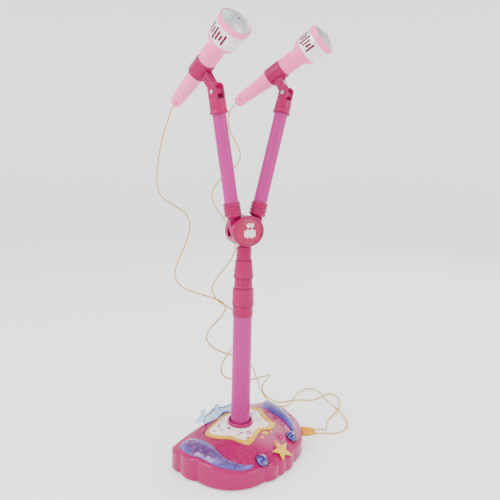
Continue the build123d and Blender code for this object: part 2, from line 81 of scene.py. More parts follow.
STAND = at(0, 0, RISE)
BASE = STAND @ turn(BASE_TURN, "Z")
ARM, FORK, CLIP, MIC = {}, {}, {}, {}
for side_name, s in SIDES.items():
    ARM[side_name] = STAND @ at(s["side"] * ARM_PIVOT[0], 0, ARM_PIVOT[1]) @ turn(s["lean"], "Y")
    FORK[side_name] = ARM[side_name] @ at(0, 0, s["reach"]) @ turn(s["twist"], "Z")
    CLIP[side_name] = FORK[side_name] @ at(0, 0, TILT_AT) @ turn(s["tilt"], "X")
    MIC[side_name] = CLIP[side_name] @ at(0, LINK, -SLEEVE_AT)


# ---------------------------------------------------------------- materials
def linear(r, g, b):
    """A colour from display values of 0 to 255."""
    shares = [c / 255 for c in (r, g, b)]
    return tuple(((c + 0.055) / 1.055) ** 2.4 if c > 10 / 255 else c / 12.92 for c in shares) + (1.0,)


def shade(colour, k):
    return tuple(min(1.0, c * k) for c in colour[:3]) + (1.0,)


class Nodes:
    """A material under construction."""

    def __init__(self, name):
        self.mat = bpy.data.materials.new(name)
        self.mat.use_nodes = True
        self.tree = self.mat.node_tree
        self.shader = self.tree.nodes["Principled BSDF"]
        self.coords = self.add("ShaderNodeTexCoord")

    def add(self, kind, **props):
        node = self.tree.nodes.new(kind)
        for key, value in props.items():
            setattr(node, key, value)
        return node

    def link(self, a, b):
        self.tree.links.new(a, b)

    def noise(self, scale, detail=3.0, rough=0.55):
        node = self.add("ShaderNodeTexNoise")
        node.inputs["Scale"].default_value = scale
        node.inputs["Detail"].default_value = detail
        node.inputs["Roughness"].default_value = rough
        self.link(self.coords.outputs["Object"], node.inputs["Vector"])
        return node.outputs["Fac"]

    def ramp(self, value, stops):
        node = self.add("ShaderNodeValToRGB")
        ramp = node.color_ramp
        while len(ramp.elements) < len(stops):
            ramp.elements.new(0.5)
        for element, (pos, colour) in zip(ramp.elements, stops):
            element.position = pos
            element.color = colour
        self.link(value, node.inputs["Fac"])
        return node.outputs["Color"]

    def spread(self, value, low, high):
        node = self.add("ShaderNodeMapRange")
        node.inputs["From Min"].default_value = 0.3
        node.inputs["From Max"].default_value = 0.7
        node.inputs["To Min"].default_value = low
        node.inputs["To Max"].default_value = high
        self.link(value, node.inputs["Value"])
        return node.outputs["Result"]

    def bump(self, value, strength, distance, after=None):
        node = self.add("ShaderNodeBump")
        node.inputs["Strength"].default_value = strength
        node.inputs["Distance"].default_value = distance
        self.link(value, node.inputs["Height"])
        if after is not None:
            self.link(after, node.inputs["Normal"])
        self.link(node.outputs["Normal"], self.shader.inputs["Normal"])
        return node.outputs["Normal"]

    def set(self, **values):
        for key, value in values.items():
            self.shader.inputs[key.replace("_", " ")].default_value = value


def plastic(name, colour, rough=(0.2, 0.3), coat=0.4, vary=0.08, grain=0.15, glow=0.0):
    """Moulded plastic: faint flow marks in the colour, uneven polish, orange-peel grain."""
    m = Nodes(name)
    flow = m.noise(14.0, 3.0)
    m.link(m.ramp(flow, [(0.3, shade(colour, 1 - vary)), (0.7, shade(colour, 1 + vary))]),
           m.shader.inputs["Base Color"])
    m.link(m.spread(m.noise(60.0, 4.0), *rough), m.shader.inputs["Roughness"])
    fine = m.bump(m.noise(900.0, 2.0), grain, 0.0001)
    m.bump(m.noise(45.0, 1.0), 0.12, 0.0006, fine)
    m.set(Coat_Weight=coat, Coat_Roughness=0.08, IOR=1.5, Specular_IOR_Level=0.2)
    if glow:
        m.set(Subsurface_Weight=glow, Subsurface_Scale=0.004)
        m.shader.inputs["Subsurface Radius"].default_value = (1.0, 0.35, 0.5)
    return m.mat


MAGENTA = (0.32, 0.0, 0.085, 1.0)
MAGENTA_PART = (0.29, 0.0, 0.068, 1.0)
ORCHID = (0.36, 0.014, 0.17, 1.0)
PINK = (0.97, 0.17, 0.42, 1.0)

MAT = {
    "magenta_base": plastic("base_magenta_gloss", MAGENTA, (0.18, 0.27), 0.15, 0.06, 0.1, 0.05),
    "magenta_parts": plastic("parts_magenta_satin", MAGENTA_PART, (0.26, 0.38), 0.08, 0.07, 0.25, 0.05),
    "orchid_tube": plastic("tube_orchid", ORCHID, (0.28, 0.36), 0.08, 0.04, 0.2),
    "badge_pink": plastic("badge_magenta", (0.32, 0.0, 0.055, 1.0), (0.2, 0.3), 0.4, 0.05, 0.2),
    "mic_pink": plastic("mic_pink", PINK, (0.22, 0.32), 0.4, 0.04, 0.15, 0.1),
    "plug_amber": plastic("plug_amber", (0.62, 0.27, 0.0, 1.0), (0.32, 0.42), 0.1, 0.06, 0.3),
    # dark_plastic also colours the grille's hole disc, where it is painted shade
    "dark_plastic": plastic("dark_plastic", linear(28, 26, 30), (0.45, 0.6), 0.0, 0.15, 0.5),
    "dark_rubber": plastic("dark_rubber", linear(60, 40, 45), (0.6, 0.75), 0.0, 0.15, 0.6),
    "foot_rubber": plastic("foot_rubber", linear(44, 42, 46), (0.7, 0.85), 0.0, 0.2, 0.8),
    "gold": plastic("gold_paint", (0.66, 0.38, 0.02, 1.0), (0.24, 0.36), 0.3, 0.1, 0.2),
    "print_crimson": plastic("print_crimson", (0.14, 0.0, 0.02, 1.0), (0.3, 0.4), 0.1, 0.05, 0.1),
    "print_white": plastic("print_white", linear(245, 238, 242), (0.3, 0.4), 0.1, 0.03, 0.1),
    "print_rose": plastic("print_rose", (0.24, 0.02, 0.06, 1.0), (0.3, 0.45), 0.1, 0.08, 0.1),
    "board_green": plastic("board_green", linear(30, 110, 60), (0.4, 0.5), 0.2, 0.12, 0.3),
    "battery_case": plastic("battery_case", linear(60, 60, 70), (0.3, 0.4), 0.3, 0.1, 0.2),
    # speaker_hole: a darker pink standing in for the shade inside a hole, painted shade
    "speaker_hole": plastic("hole_painted_shade", linear(90, 0, 48), (0.6, 0.7), 0.0, 0.1, 0.2),
}


def make_steel():
    m = Nodes("screw_steel")
    m.link(m.ramp(m.noise(300.0), [(0.3, linear(150, 150, 155)), (0.7, linear(200, 200, 205))]),
           m.shader.inputs["Base Color"])
    m.link(m.spread(m.noise(700.0, 4.0), 0.25, 0.42), m.shader.inputs["Roughness"])
    m.bump(m.noise(1500.0), 0.1, 0.0001)
    m.set(Metallic=1.0)
    return m.mat


def make_panel():
    """Pearly printed card: warm white with soft rosy and grey clouds."""
    m = Nodes("panel_pearl")
    stops = [(0.30, linear(226, 196, 206)), (0.5, linear(240, 228, 226)), (0.72, linear(248, 240, 234))]
    m.link(m.ramp(m.noise(55.0, 4.0), stops), m.shader.inputs["Base Color"])
    m.link(m.spread(m.noise(120.0), 0.22, 0.34), m.shader.inputs["Roughness"])
    m.bump(m.noise(1200.0), 0.1, 0.0001)
    m.set(Coat_Weight=0.3, Coat_Roughness=0.1)
    return m.mat


def make_band():
    """Silvery label stock with a faint brushed shimmer round the barrel."""
    m = Nodes("label_silver")
    stops = [(0.3, linear(214, 204, 208)), (0.7, linear(240, 234, 236))]
    m.link(m.ramp(m.noise(70.0, 3.0), stops), m.shader.inputs["Base Color"])
    m.link(m.spread(m.noise(300.0), 0.25, 0.36), m.shader.inputs["Roughness"])
    m.bump(m.noise(1400.0), 0.12, 0.0001)
    m.set(Metallic=0.25, Coat_Weight=0.3, Coat_Roughness=0.12)
    return m.mat


def make_grille():
    """Silver-painted plastic mesh."""
    m = Nodes("grille_silver")
    stops = [(0.3, linear(150, 152, 158)), (0.55, linear(186, 188, 194)), (0.75, linear(214, 216, 220))]
    m.link(m.ramp(m.noise(260.0, 4.0), stops), m.shader.inputs["Base Color"])
    m.link(m.spread(m.noise(500.0), 0.22, 0.4), m.shader.inputs["Roughness"])
    cells = m.add("ShaderNodeTexVoronoi", feature="DISTANCE_TO_EDGE")
    cells.inputs["Scale"].default_value = 620.0
    m.link(m.coords.outputs["Object"], cells.inputs["Vector"])
    m.bump(cells.outputs["Distance"], 0.5, 0.0004)
    m.set(Metallic=0.75)
    return m.mat


def make_tail(name, inner, outer):
    """Pearly scales: purple inside, blue-violet towards the rim, glitter in the lacquer."""
    m = Nodes(name)
    mix = m.add("ShaderNodeMix", data_type="RGBA")
    tint = m.add("ShaderNodeVertexColor", layer_name="tint")
    split = m.add("ShaderNodeSeparateColor")
    m.link(tint.outputs["Color"], split.inputs["Color"])
    m.link(split.outputs["Red"], mix.inputs["Factor"])
    m.link(m.ramp(m.noise(90.0, 4.0), [(0.3, shade(inner, 0.75)), (0.7, shade(inner, 1.3))]), mix.inputs["A"])
    m.link(m.ramp(m.noise(90.0, 4.0), [(0.3, shade(outer, 0.8)), (0.7, shade(outer, 1.35))]), mix.inputs["B"])
    sparkle = m.add("ShaderNodeTexVoronoi")
    sparkle.inputs["Scale"].default_value = 900.0
    m.link(m.coords.outputs["Object"], sparkle.inputs["Vector"])
    lift = m.add("ShaderNodeMix", data_type="RGBA", blend_type="SCREEN")
    flecks = m.ramp(sparkle.outputs["Color"], [(0.72, (0, 0, 0, 1)), (0.95, (0.16, 0.13, 0.26, 1))])
    lift.inputs["Factor"].default_value = 1.0
    m.link(mix.outputs["Result"], lift.inputs["A"])
    m.link(flecks, lift.inputs["B"])
    m.link(lift.outputs["Result"], m.shader.inputs["Base Color"])
    m.link(m.spread(m.noise(400.0), 0.18, 0.34), m.shader.inputs["Roughness"])
    m.bump(m.noise(1000.0, 2.0), 0.15, 0.0001)
    m.set(Coat_Weight=0.6, Coat_Roughness=0.08, Metallic=0.15)
    return m.mat


def make_gem():
    m = Nodes("gem_blue")
    m.link(m.ramp(m.noise(120.0), [(0.3, (0.004, 0.001, 0.09, 1.0)), (0.7, (0.015, 0.008, 0.22, 1.0))]),
           m.shader.inputs["Base Color"])
    m.link(m.spread(m.noise(300.0), 0.06, 0.14), m.shader.inputs["Roughness"])
    m.bump(m.noise(900.0), 0.05, 0.0001)
    m.set(Coat_Weight=0.8, Coat_Roughness=0.04, IOR=1.55)
    return m.mat


def make_splash():
    """Clear pale-blue moulding, darker where it is thick."""
    m = Nodes("splash_clear_blue")
    m.link(m.ramp(m.noise(60.0), [(0.3, (0.35, 0.66, 0.95, 1.0)), (0.7, (0.60, 0.84, 1.0, 1.0))]),
           m.shader.inputs["Base Color"])
    m.link(m.spread(m.noise(200.0), 0.08, 0.18), m.shader.inputs["Roughness"])
    m.bump(m.noise(140.0, 2.0), 0.2, 0.0006)
    m.set(Transmission_Weight=0.75, IOR=1.35, Coat_Weight=0.5, Coat_Roughness=0.05)
    return m.mat


def make_cord_skin():
    m = Nodes("cord_mustard")
    m.link(m.ramp(m.noise(160.0, 3.0), [(0.3, (0.48, 0.27, 0.0, 1.0)), (0.7, (0.62, 0.36, 0.0, 1.0))]),
           m.shader.inputs["Base Color"])
    m.link(m.spread(m.noise(400.0), 0.38, 0.52), m.shader.inputs["Roughness"])
    m.bump(m.noise(1200.0), 0.2, 0.0001)
    m.set(Coat_Weight=0.1)
    return m.mat


MAT["steel"] = make_steel()
MAT["panel_white"] = make_panel()
MAT["band_silver"] = make_band()
MAT["grille_silver"] = make_grille()
MAT["tail_purple"] = make_tail("tail_scales", (0.08, 0.002, 0.12, 1.0), (0.04, 0.022, 0.26, 1.0))
MAT["gem_blue"] = make_gem()
MAT["splash_blue"] = make_splash()
MAT["cord_yellow"] = make_cord_skin()


# ---------------------------------------------------------------- mesh helpers
def piece(name, verts, faces, mat, body, place=None, smooth=True, replaces=()):
    """A mesh piece: points in millimetres, moved by place, riding on a body."""
    mesh = bpy.data.meshes.new(name)
    move = place if place is not None else STAND
    mesh.from_pydata([(move @ Vector(v)) * MM for v in verts], [], faces)
    clean = bmesh.new()
    clean.from_mesh(mesh)
    bmesh.ops.remove_doubles(clean, verts=clean.verts, dist=1e-6)
    bmesh.ops.recalc_face_normals(clean, faces=clean.faces)
    clean.to_mesh(mesh)
    clean.free()
    for face in mesh.polygons:
        face.use_smooth = smooth
    mesh.materials.append(MAT[mat] if isinstance(mat, str) else mat)
    obj = bpy.data.objects.new(name, mesh)
    bpy.context.scene.collection.objects.link(obj)
    if body:
        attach(obj, body)
    if replaces:
        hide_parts(*replaces)
    return obj


def bevelled(obj, width, segments=3, angle=28.0):
    """Rounds a piece's sharp edges. width in millimetres."""
    mod = obj.modifiers.new("edge_round", "BEVEL")
    mod.width = width * MM
    mod.segments = segments
    mod.limit_method = "ANGLE"
    mod.angle_limit = radians(angle)
    mod.harden_normals = True
    return obj


def soften(points, radius, steps=4, closed=False):
    """Rounds a profile's corners with short curves."""
    out = []
    count = len(points)
    for i, b in enumerate(points):
        r = b[2] if len(b) > 2 else radius
        b = Vector(b[:2])
        if r <= 0 or (not closed and i in (0, count - 1)):
            out.append(tuple(b))
            continue
        a, c = Vector(points[i - 1][:2]), Vector(points[(i + 1) % count][:2])
        la, lc = (a - b).length, (c - b).length
        ra, rc = min(r, la * 0.48), min(r, lc * 0.48)
        p, q = b + (a - b) * (ra / la), b + (c - b) * (rc / lc)
        for k in range(steps + 1):
            t = k / steps
            out.append(tuple(p * (1 - t) ** 2 + b * 2 * t * (1 - t) + q * t ** 2))
    return out


def lathe(profile, segments=96, radius=0.5, closed=False, warp=None):
    """Turns a profile of (radius, z) about Z. warp(r, angle, z) may change the radius."""
    line = soften(profile, radius, closed=closed)
    verts, faces, rings = [], [], []
    for r, z in line:
        if r < 1e-6:
            rings.append([len(verts)])
            verts.append((0.0, 0.0, z))
            continue
        ring = []
        for k in range(segments):
            a = 2 * pi * k / segments
            rr = warp(r, a, z) if warp else r
            ring.append(len(verts))
            verts.append((rr * cos(a), rr * sin(a), z))
        rings.append(ring)
    pairs = list(zip(rings, rings[1:]))
    if closed:
        pairs.append((rings[-1], rings[0]))
    for a, b in pairs:
        for k in range(segments):
            n = (k + 1) % segments
            if len(a) == 1 and len(b) == 1:
                continue
            if len(a) == 1:
                faces.append((a[0], b[k], b[n]))
            elif len(b) == 1:
                faces.append((a[k], b[0], a[n]))
            else:
                faces.append((a[k], b[k], b[n], a[n]))
    return verts, faces


def turned(name, profile, mat, body, place=None, segments=96, radius=0.5, closed=False, warp=None,
           replaces=()):
    verts, faces = lathe(profile, segments, radius, closed, warp)
    return piece(name, verts, faces, mat, body, place, True, replaces)


def prism(outline, z0, z1):
    """A solid over a closed outline, from z0 to z1."""
    n = len(outline)
    verts = [(x, y, z0) for x, y in outline] + [(x, y, z1) for x, y in outline]
    faces = [tuple(range(n))[::-1], tuple(range(n, 2 * n))]
    faces += [(i, (i + 1) % n, n + (i + 1) % n, n + i) for i in range(n)]
    return verts, faces


def joined(*shapes):
    """Several (verts, faces, matrix) as one mesh."""
    verts, faces = [], []
    for shape in shapes:
        v, f = shape[0], shape[1]
        m = shape[2] if len(shape) > 2 else Matrix.Identity(4)
        base = len(verts)
        verts += [tuple(m @ Vector(p)) for p in v]
        faces += [tuple(base + i for i in face) for face in f]
    return verts, faces


def grid(rows, close_u=False, close_v=False):
    """Quads over rows of points."""
    verts = [p for row in rows for p in row]
    nu, nv = len(rows), len(rows[0])
    faces = []
    for i in range(nu if close_u else nu - 1):
        for j in range(nv if close_v else nv - 1):
            a, b = i, (i + 1) % nu
            c, d = j, (j + 1) % nv
            faces.append((a * nv + c, b * nv + c, b * nv + d, a * nv + d))
    return verts, faces


def smooth_line(points, per=12, closed=False):
    """A smooth line through points of any dimension."""
    pts = [Vector(p) for p in points]
    n = len(pts)
    out = []
    for i in range(n if closed else n - 1):
        p0 = pts[(i - 1) % n] if closed or i > 0 else pts[0] * 2 - pts[1]
        p1, p2 = pts[i], pts[(i + 1) % n]
        p3 = pts[(i + 2) % n] if closed or i + 2 < n else p2 * 2 - p1
        for k in range(per):
            t = k / per
            out.append(0.5 * ((2 * p1) + (p2 - p0) * t + (2 * p0 - 5 * p1 + 4 * p2 - p3) * t * t
                              + (3 * p1 - p0 - 3 * p2 + p3) * t ** 3))
    if not closed:
        out.append(pts[-1])
    return out


def tube(points, radius, segments=10):
    """Rings of a round tube along 3-D points; radius may be a list."""
    pts = [Vector(p) for p in points]
    n = len(pts)
    tangents = [(pts[min(i + 1, n - 1)] - pts[max(i - 1, 0)]).normalized() for i in range(n)]
    up = Vector((0, 0, 1)) if abs(tangents[0].z) < 0.9 else Vector((1, 0, 0))
    across = tangents[0].cross(up).normalized()
    rows = []
    for i in range(n):
        if i:
            across = tangents[i - 1].rotation_difference(tangents[i]) @ across
            across = (across - tangents[i] * across.dot(tangents[i])).normalized()
        other = tangents[i].cross(across)
        r = radius[i] if isinstance(radius, (list, tuple)) else radius
        turns = [2 * pi * k / segments for k in range(segments)]
        rows.append([tuple(pts[i] + across * (r * cos(a)) + other * (r * sin(a))) for a in turns])
    return rows


def capped(rows):
    """A closed tube from its rings."""
    verts, faces = grid(rows, close_v=True)
    n = len(rows[0])
    faces.append(tuple(range(n)))
    last = (len(rows) - 1) * n
    faces.append(tuple(range(last, last + n))[::-1])
    return verts, faces


def top_height(x, y):
    """Height of the base's domed top, in its own plan."""
    return DOME_Z + DOME[2] * sqrt(max(0.0, 1 - (x / DOME[0]) ** 2 - (y / DOME[1]) ** 2))


# ---------------------------------------------------------------- base shell
HALF_OUTLINE = [((8, -88), 3.5), ((32, -83), 19.0), ((100, -15), 4.5), ((105, 16), 4.5)]
BACK_CORNER = ((100, 44), 3.0)
RIM_ROUND = 5.0


def base_outline(step=1.4, rounds=1):
    """The scalloped plan as an even run of points, its hollows softened."""
    right = HALF_OUTLINE + [BACK_CORNER]
    bulges = [b for _, b in right] + [b for _, b in right[:-1]][::-1] + [2.0]
    corners = [Vector(p) for p, _ in right] + [Vector((-p[0], p[1])) for p, _ in right][::-1]
    line = []
    for i, bulge in enumerate(bulges):
        a, b = corners[i], corners[(i + 1) % len(corners)]
        chord = (b - a).length
        out = Vector(((b - a).y, -(b - a).x)).normalized()
        arc_r = (chord ** 2 / 4 + bulge ** 2) / (2 * bulge)
        centre = (a + b) / 2 - out * (arc_r - bulge)
        half = atan2(chord / 2, arc_r - bulge)
        count = max(4, ceil(2 * half * arc_r / step))
        along = (b - a).normalized()
        for k in range(count):
            t = -half + 2 * half * k / count
            line.append(centre + out * (arc_r * cos(t)) + along * (arc_r * sin(t)))
    for _ in range(rounds):
        line = [(line[i - 1] + line[i] * 2 + line[(i + 1) % len(line)]) / 4 for i in range(len(line))]
    return line


def outward(line):
    n = len(line)
    normals = []
    for i in range(n):
        d = (line[(i + 2) % n] - line[i - 2]).normalized()
        normals.append(Vector((d.y, -d.x)))
    return normals


def build_shell():
    """Side wall, rounded rim, domed top and their inner faces, as one closed skin."""
    line = base_outline()
    normals = outward(line)
    hole = POLE_R + 0.15
    wall = 2.2
    rows = []
    for p, n in zip(line, normals):
        row = []

        def put(inset, z):
            q = p - n * inset
            row.append((q.x, q.y, z))

        edge = p - n * RIM_ROUND
        rim_z = top_height(edge.x, edge.y)
        put(wall, FOOT)
        put(0.7, FOOT)
        put(0.2, FOOT + 0.25)
        put(0.0, FOOT + 0.8)
        for k in range(1, 7):
            put(0.0, FOOT + 0.8 + (rim_z - RIM_ROUND - FOOT - 0.8) * k / 6)
        for k in range(1, 9):
            t = pi / 2 * k / 8
            put(RIM_ROUND * (1 - cos(t)), rim_z - RIM_ROUND * (1 - sin(t)))
        reach = edge.length
        steps = 46
        for k in range(1, steps + 1):
            t = (1 - k / steps) + hole / reach * (k / steps)
            row.append((edge.x * t, edge.y * t, top_height(edge.x * t, edge.y * t)))
        x, y = row[-1][0], row[-1][1]
        row.append((x, y, top_height(x, y) - 4))
        row.append((x * 1.1, y * 1.1, top_height(x, y) - 4))
        inner = p - n * (wall + 3.5)
        for k in range(13):
            t = (hole * 1.1) / inner.length * (1 - k / 12) + k / 12
            row.append((inner.x * t, inner.y * t, top_height(inner.x * t, inner.y * t) - wall))
        low = rim_z - RIM_ROUND - 1
        put(wall, low)
        put(wall, (low + FOOT) / 2)
        rows.append(row)
    return grid(rows, close_u=True, close_v=True)


verts, faces = build_shell()
shell = piece("base_top_shell", verts, faces, "magenta_base", "stand", BASE,
              replaces=["base_shell"])

# loudspeaker holes cut through the top
speaker_at = (-55.0, -10.0)
cutters = []
for ring_r, count in ((0.0, 1), (4.5, 6), (9.0, 12), (13.5, 18)):
    for i in range(count):
        a = 2 * pi * i / count
        x, y = speaker_at[0] + ring_r * cos(a), speaker_at[1] + ring_r * sin(a)
        if x < -66:
            continue
        disc = [(x + 0.85 * cos(2 * pi * k / 12), y + 0.85 * sin(2 * pi * k / 12)) for k in range(12)]
        cutters.append(prism(disc, 24, 46))
verts, faces = joined(*cutters)
cut_mesh = bpy.data.meshes.new("speaker_cut")
cut_mesh.from_pydata([(BASE @ Vector(v)) * MM for v in verts], [], faces)
cut_obj = bpy.data.objects.new("speaker_cut", cut_mesh)
bpy.context.scene.collection.objects.link(cut_obj)
cut = shell.modifiers.new("holes", "BOOLEAN")
cut.operation = "DIFFERENCE"
cut.object = cut_obj
cut.solver = "EXACT"
bpy.context.view_layer.update()
evaluated = shell.evaluated_get(bpy.context.evaluated_depsgraph_get())
pierced = bpy.data.meshes.new_from_object(evaluated)
shell.modifiers.clear()
shell.data = pierced
bpy.data.objects.remove(cut_obj)


def on_top(x, y, lift=0.0):
    return (x, y, top_height(x, y) + lift)


def ridge(points, radius):
    """A raised moulded line on the top, thin at its ends: points in plan."""
    n = len(points)
    radii = [radius * min(1.0, 0.35 + 3.0 * min(i, n - 1 - i) / n) for i in range(n)]
    return capped(tube([on_top(x, y) for x, y in points], radii, 8))


def spiral(x, y, r, turns, start, way=1, count=48):
    pts = []
    for i in range(count):
        t = i / (count - 1)
        a = radians(start) + way * 2 * pi * turns * t
        pts.append((x + r * (1 - 0.85 * t) * cos(a), y + r * (1 - 0.85 * t) * sin(a)))
    return pts


shapes = []
for x, y, r, start, way in ((-52, -40, 9.5, 200, 1), (-38, -51, 8.0, 20, -1), (-24, -60, 6.0, 120, 1),
                            (29, -58, 7.0, 40, 1), (56, -40, 7.5, 250, -1), (60, -24, 6.5, 60, 1),
                            (64, -2, 6.0, 150, -1), (-12, -72, 4.5, 300, 1), (-58, -55, 5.5, 100, -1)):
    shapes.append(ridge(spiral(x, y, r, 1.6, start, way), 0.95))
for pts in ([(-62, -46), (-50, -56), (-36, -65), (-20, -71)], [(20, -66), (34, -60), (47, -50), (57, -37)],
            [(57, 4), (56, 14), (52, 24)], [(-66, 30), (-50, 38), (-30, 43)]):
    line = [(p.x, p.y) for p in smooth_line(pts, 10)]
    shapes.append(ridge(line, 0.85))
verts, faces = joined(*shapes)
piece("base_swirls", verts, faces, "magenta_base", "stand", BASE)

# the pole's collar
collar_top = top_height(0, 0)
turned("collar_ring",
       [(POLE_R + 0.15, collar_top - 1), (20.1, collar_top - 3.2, 0), (20.1, collar_top + 3.6, 1.6),
        (18.6, collar_top + 5.6, 1.2), (17.0, collar_top + 4.6, 0.8), (POLE_R + 0.15, collar_top + 1.2, 0.4)],
       "magenta_base", "stand", BASE, 120, 0.6, closed=True, replaces=["pole_collar"])

# ---------------------------------------------------------------- tails
# plan outlines from the tip to the back, outer and inner edge, and the smooth lobes: x, y, radius, height
TAILS = {
    "left": ([(-47, -74.6), (-62, -70.3), (-75, -60), (-85.5, -47), (-92, -32.5), (-95.6, -16), (-100.5, -2),
              (-100.5, 15), (-97.5, 30.5)],
             [(-47, -72), (-57, -65.8), (-68, -54), (-72, -42), (-71.2, -29), (-69.4, -17), (-69.4, -4),
              (-71.5, 13), (-78, 26.5), (-88, 31.5)],
             ((-88, 13, 11, 1.0), (-93, -6, 12, 1.0), (-88, -24, 8, 0.6))),
    "right": ([(58, -64.5), (68, -57.6), (77.6, -46), (86.5, -30), (92.5, -14), (98.5, 0), (100.5, 15),
               (97.5, 30.5)],
              [(56.6, -61.4), (61.2, -49), (64.8, -34), (64.9, -17), (65.4, 2), (69.4, 13.8), (78, 26.5),
               (88, 31.5)],
              ((88, 13, 10, 0.8), (91, -6, 10, 0.8))),
}


def line_at(line, t):
    x = t * (len(line) - 1)
    i = min(int(x), len(line) - 2)
    return line[i].lerp(line[i + 1], x - i)


def hex_dome(s, w, pitch):
    """Height from 0 to 1 of a scale in a staggered lattice."""
    row = pitch * 0.86
    best = 9.0
    r0 = int(s // row)
    for r in (r0 - 1, r0, r0 + 1, r0 + 2):
        shift = 0.5 * pitch * (r % 2)
        c = round((w - shift) / pitch)
        d = hypot((s - r * row) * 0.92, w - (c * pitch + shift))
        best = min(best, d)
    return max(0.0, 1 - (best / (0.60 * pitch)) ** 2)


def build_tail(outer, inner, lobes):
    outer, inner = smooth_line(outer, 16), smooth_line(inner, 16)
    nu, nv = 236, 52
    tops, tint = [], []
    length = 132.0
    for i in range(nu):
        u = i / (nu - 1)
        a, b = line_at(outer, u), line_at(inner, u)
        width = (a - b).length
        row = []
        swell = 2.6 + 4.0 * min(1.0, u / 0.35)
        swell *= min(1.0, ((1 - u) / 0.12) ** 0.5 if u < 1 else 0.0)
        for j in range(nv):
            v = j / (nv - 1)
            q = a.lerp(b, v)
            arch = sin(pi * v) ** 0.62
            lift = swell * arch
            near = 0.0
            for lx, ly, lr, lh in lobes:
                d = hypot((q.x - lx) * 1.25, q.y - ly) / lr
                if d < 1:
                    near = max(near, min(1.0, (1 - d) * 5))
                    lift += lh * (1 - d * d) ** 2
            dome = hex_dome(u * length, v * width - width / 2, 3.3)
            lift += (dome - 0.4) * 0.55 * min(1.0, arch * 1.6) * (1 - near) * min(1.0, swell / 3)
            lift = min(lift, 6.85)
            row.append((q.x, q.y, top_height(q.x, q.y) - 0.2 + max(0.0, lift)))
            rim = max(0.0, 2.3 * abs(v - 0.4) - 0.15)
            seam = 0.75 * (1 - dome) * (1 - near)
            tint.append(max(0.0, min(1.0, rim + seam + 0.15 * sin(9 * u) - 0.7 * near)))
        tops.append(row)
    verts, faces = grid(tops)
    count = len(verts)
    verts += [(x, y, top_height(x, y) - 0.6) for x, y, z in verts]
    bottom = [tuple(count + k for k in face)[::-1] for face in faces]
    rim_ids = [j for j in range(nv)] + [i * nv + nv - 1 for i in range(1, nu)]
    rim_ids += [(nu - 1) * nv + j for j in range(nv - 2, -1, -1)] + [i * nv for i in range(nu - 2, 0, -1)]
    after = rim_ids[1:] + rim_ids[:1]
    sides = [(a, b, count + b, count + a) for a, b in zip(rim_ids, after)]
    return verts, faces + bottom + sides, tint + tint


def tinted(obj, place, verts, tint):
    """Stores a point tint, matched by place because doubles were merged."""
    table = {tuple(round(c * MM, 6) for c in place @ Vector(v)): t for v, t in zip(verts, tint)}
    layer = obj.data.color_attributes.new("tint", "FLOAT_COLOR", "POINT")
    for k, vert in enumerate(obj.data.vertices):
        t = table.get(tuple(round(c, 6) for c in vert.co), 0.5)
        layer.data[k].color = (t, t, t, 1.0)


for side_name, (outer, inner, lobes) in TAILS.items():
    verts, faces, tint = build_tail(outer, inner, lobes)
    tail = piece(side_name + "_tail_scales", verts, faces, "tail_purple", "stand", BASE,
                 replaces=[side_name + "_tail"])
    tinted(tail, BASE, verts, tint)

# ---------------------------------------------------------------- panel
PANEL = [(-4, 36), (-27, 28), (-46, 23), (-60, 14), (-56, -5), (-42, -22), (-35, -38), (-27, -47), (-11, -44),
         (9, -37), (27, -43), (41, -38), (42, -24), (47, -10), (56, 6), (51, 22), (25, 29)]
PANEL_BORDER, PANEL_SHIFT = 0.86, Vector((-1.0, 2.0))
panel_line = [Vector((p.x, p.y)) for p in smooth_line(PANEL, 10, closed=True)]
panel_inner = [p * PANEL_BORDER + PANEL_SHIFT for p in panel_line]
frame_rows = []
FRAME_PROFILE = [(0.02, -0.4), (0.02, 1.2), (0.08, 2.35), (0.2, 2.9), (0.36, 2.9), (0.52, 2.3), (0.6, 1.95),
                 (0.78, 2.1), (0.92, 1.9), (0.99, 1.3), (1.0, 0.6), (0.99, -0.4)]
for p, q in zip(panel_line, panel_inner):
    row = []
    for part, z in soften(FRAME_PROFILE, 0.05, 3):
        m = p.lerp(q, part)
        row.append(on_top(m.x, m.y, z))
    frame_rows.append(row)
verts, faces = grid(frame_rows, close_u=True, close_v=True)
shapes = [(verts, faces)]


def leaf(x, y, a, b, angle):
    """A gold drop with a crease, on the base's top."""
    rings = []
    for scale, lift in ((1.0, -0.3), (0.98, 0.4), (0.86, 0.95), (0.5, 1.25), (0.08, 1.35)):
        ring = []
        for i in range(28):
            t = 2 * pi * i / 28
            px, py = a * scale * cos(t), b * scale * sin(t) * (1 - 0.35 * cos(t))
            ca, sa = cos(radians(angle)), sin(radians(angle))
            ring.append(on_top(x + px * ca - py * sa, y + px * sa + py * ca, lift))
        rings.append(ring)
    verts, faces = grid(rings, close_v=True)
    faces.append(tuple(range(28))[::-1])
    faces.append(tuple(range(4 * 28, 5 * 28)))
    return verts, faces


shapes += [leaf(11, -42.5, 6.0, 3.2, 150), leaf(22.5, -45.5, 3.2, 2.0, 80), leaf(0.5, -47, 3.6, 1.9, 175)]
verts, faces = joined(*shapes)
piece("panel_gold_frame", verts, faces, "gold", "stand", BASE, replaces=["gold_trim"])

plate_rows = []
for k in range(18):
    t = k / 17
    row = []
    for p in panel_inner:
        q = p * 1.01
        inner = 19.0 / q.length
        m = q * ((1 - t) + inner * t)
        row.append(on_top(m.x, m.y, 1.0 + 0.35 * sin(pi * min(1.0, t * 1.2)) ** 0.5))
    plate_rows.append(row)
under = [[(x, y, z - 0.9) for x, y, z in row] for row in plate_rows[::-1]]
verts, faces = grid(plate_rows + under, close_u=True, close_v=True)
piece("panel_card", verts, faces, "panel_white", "stand", BASE, replaces=["panel_plate"])


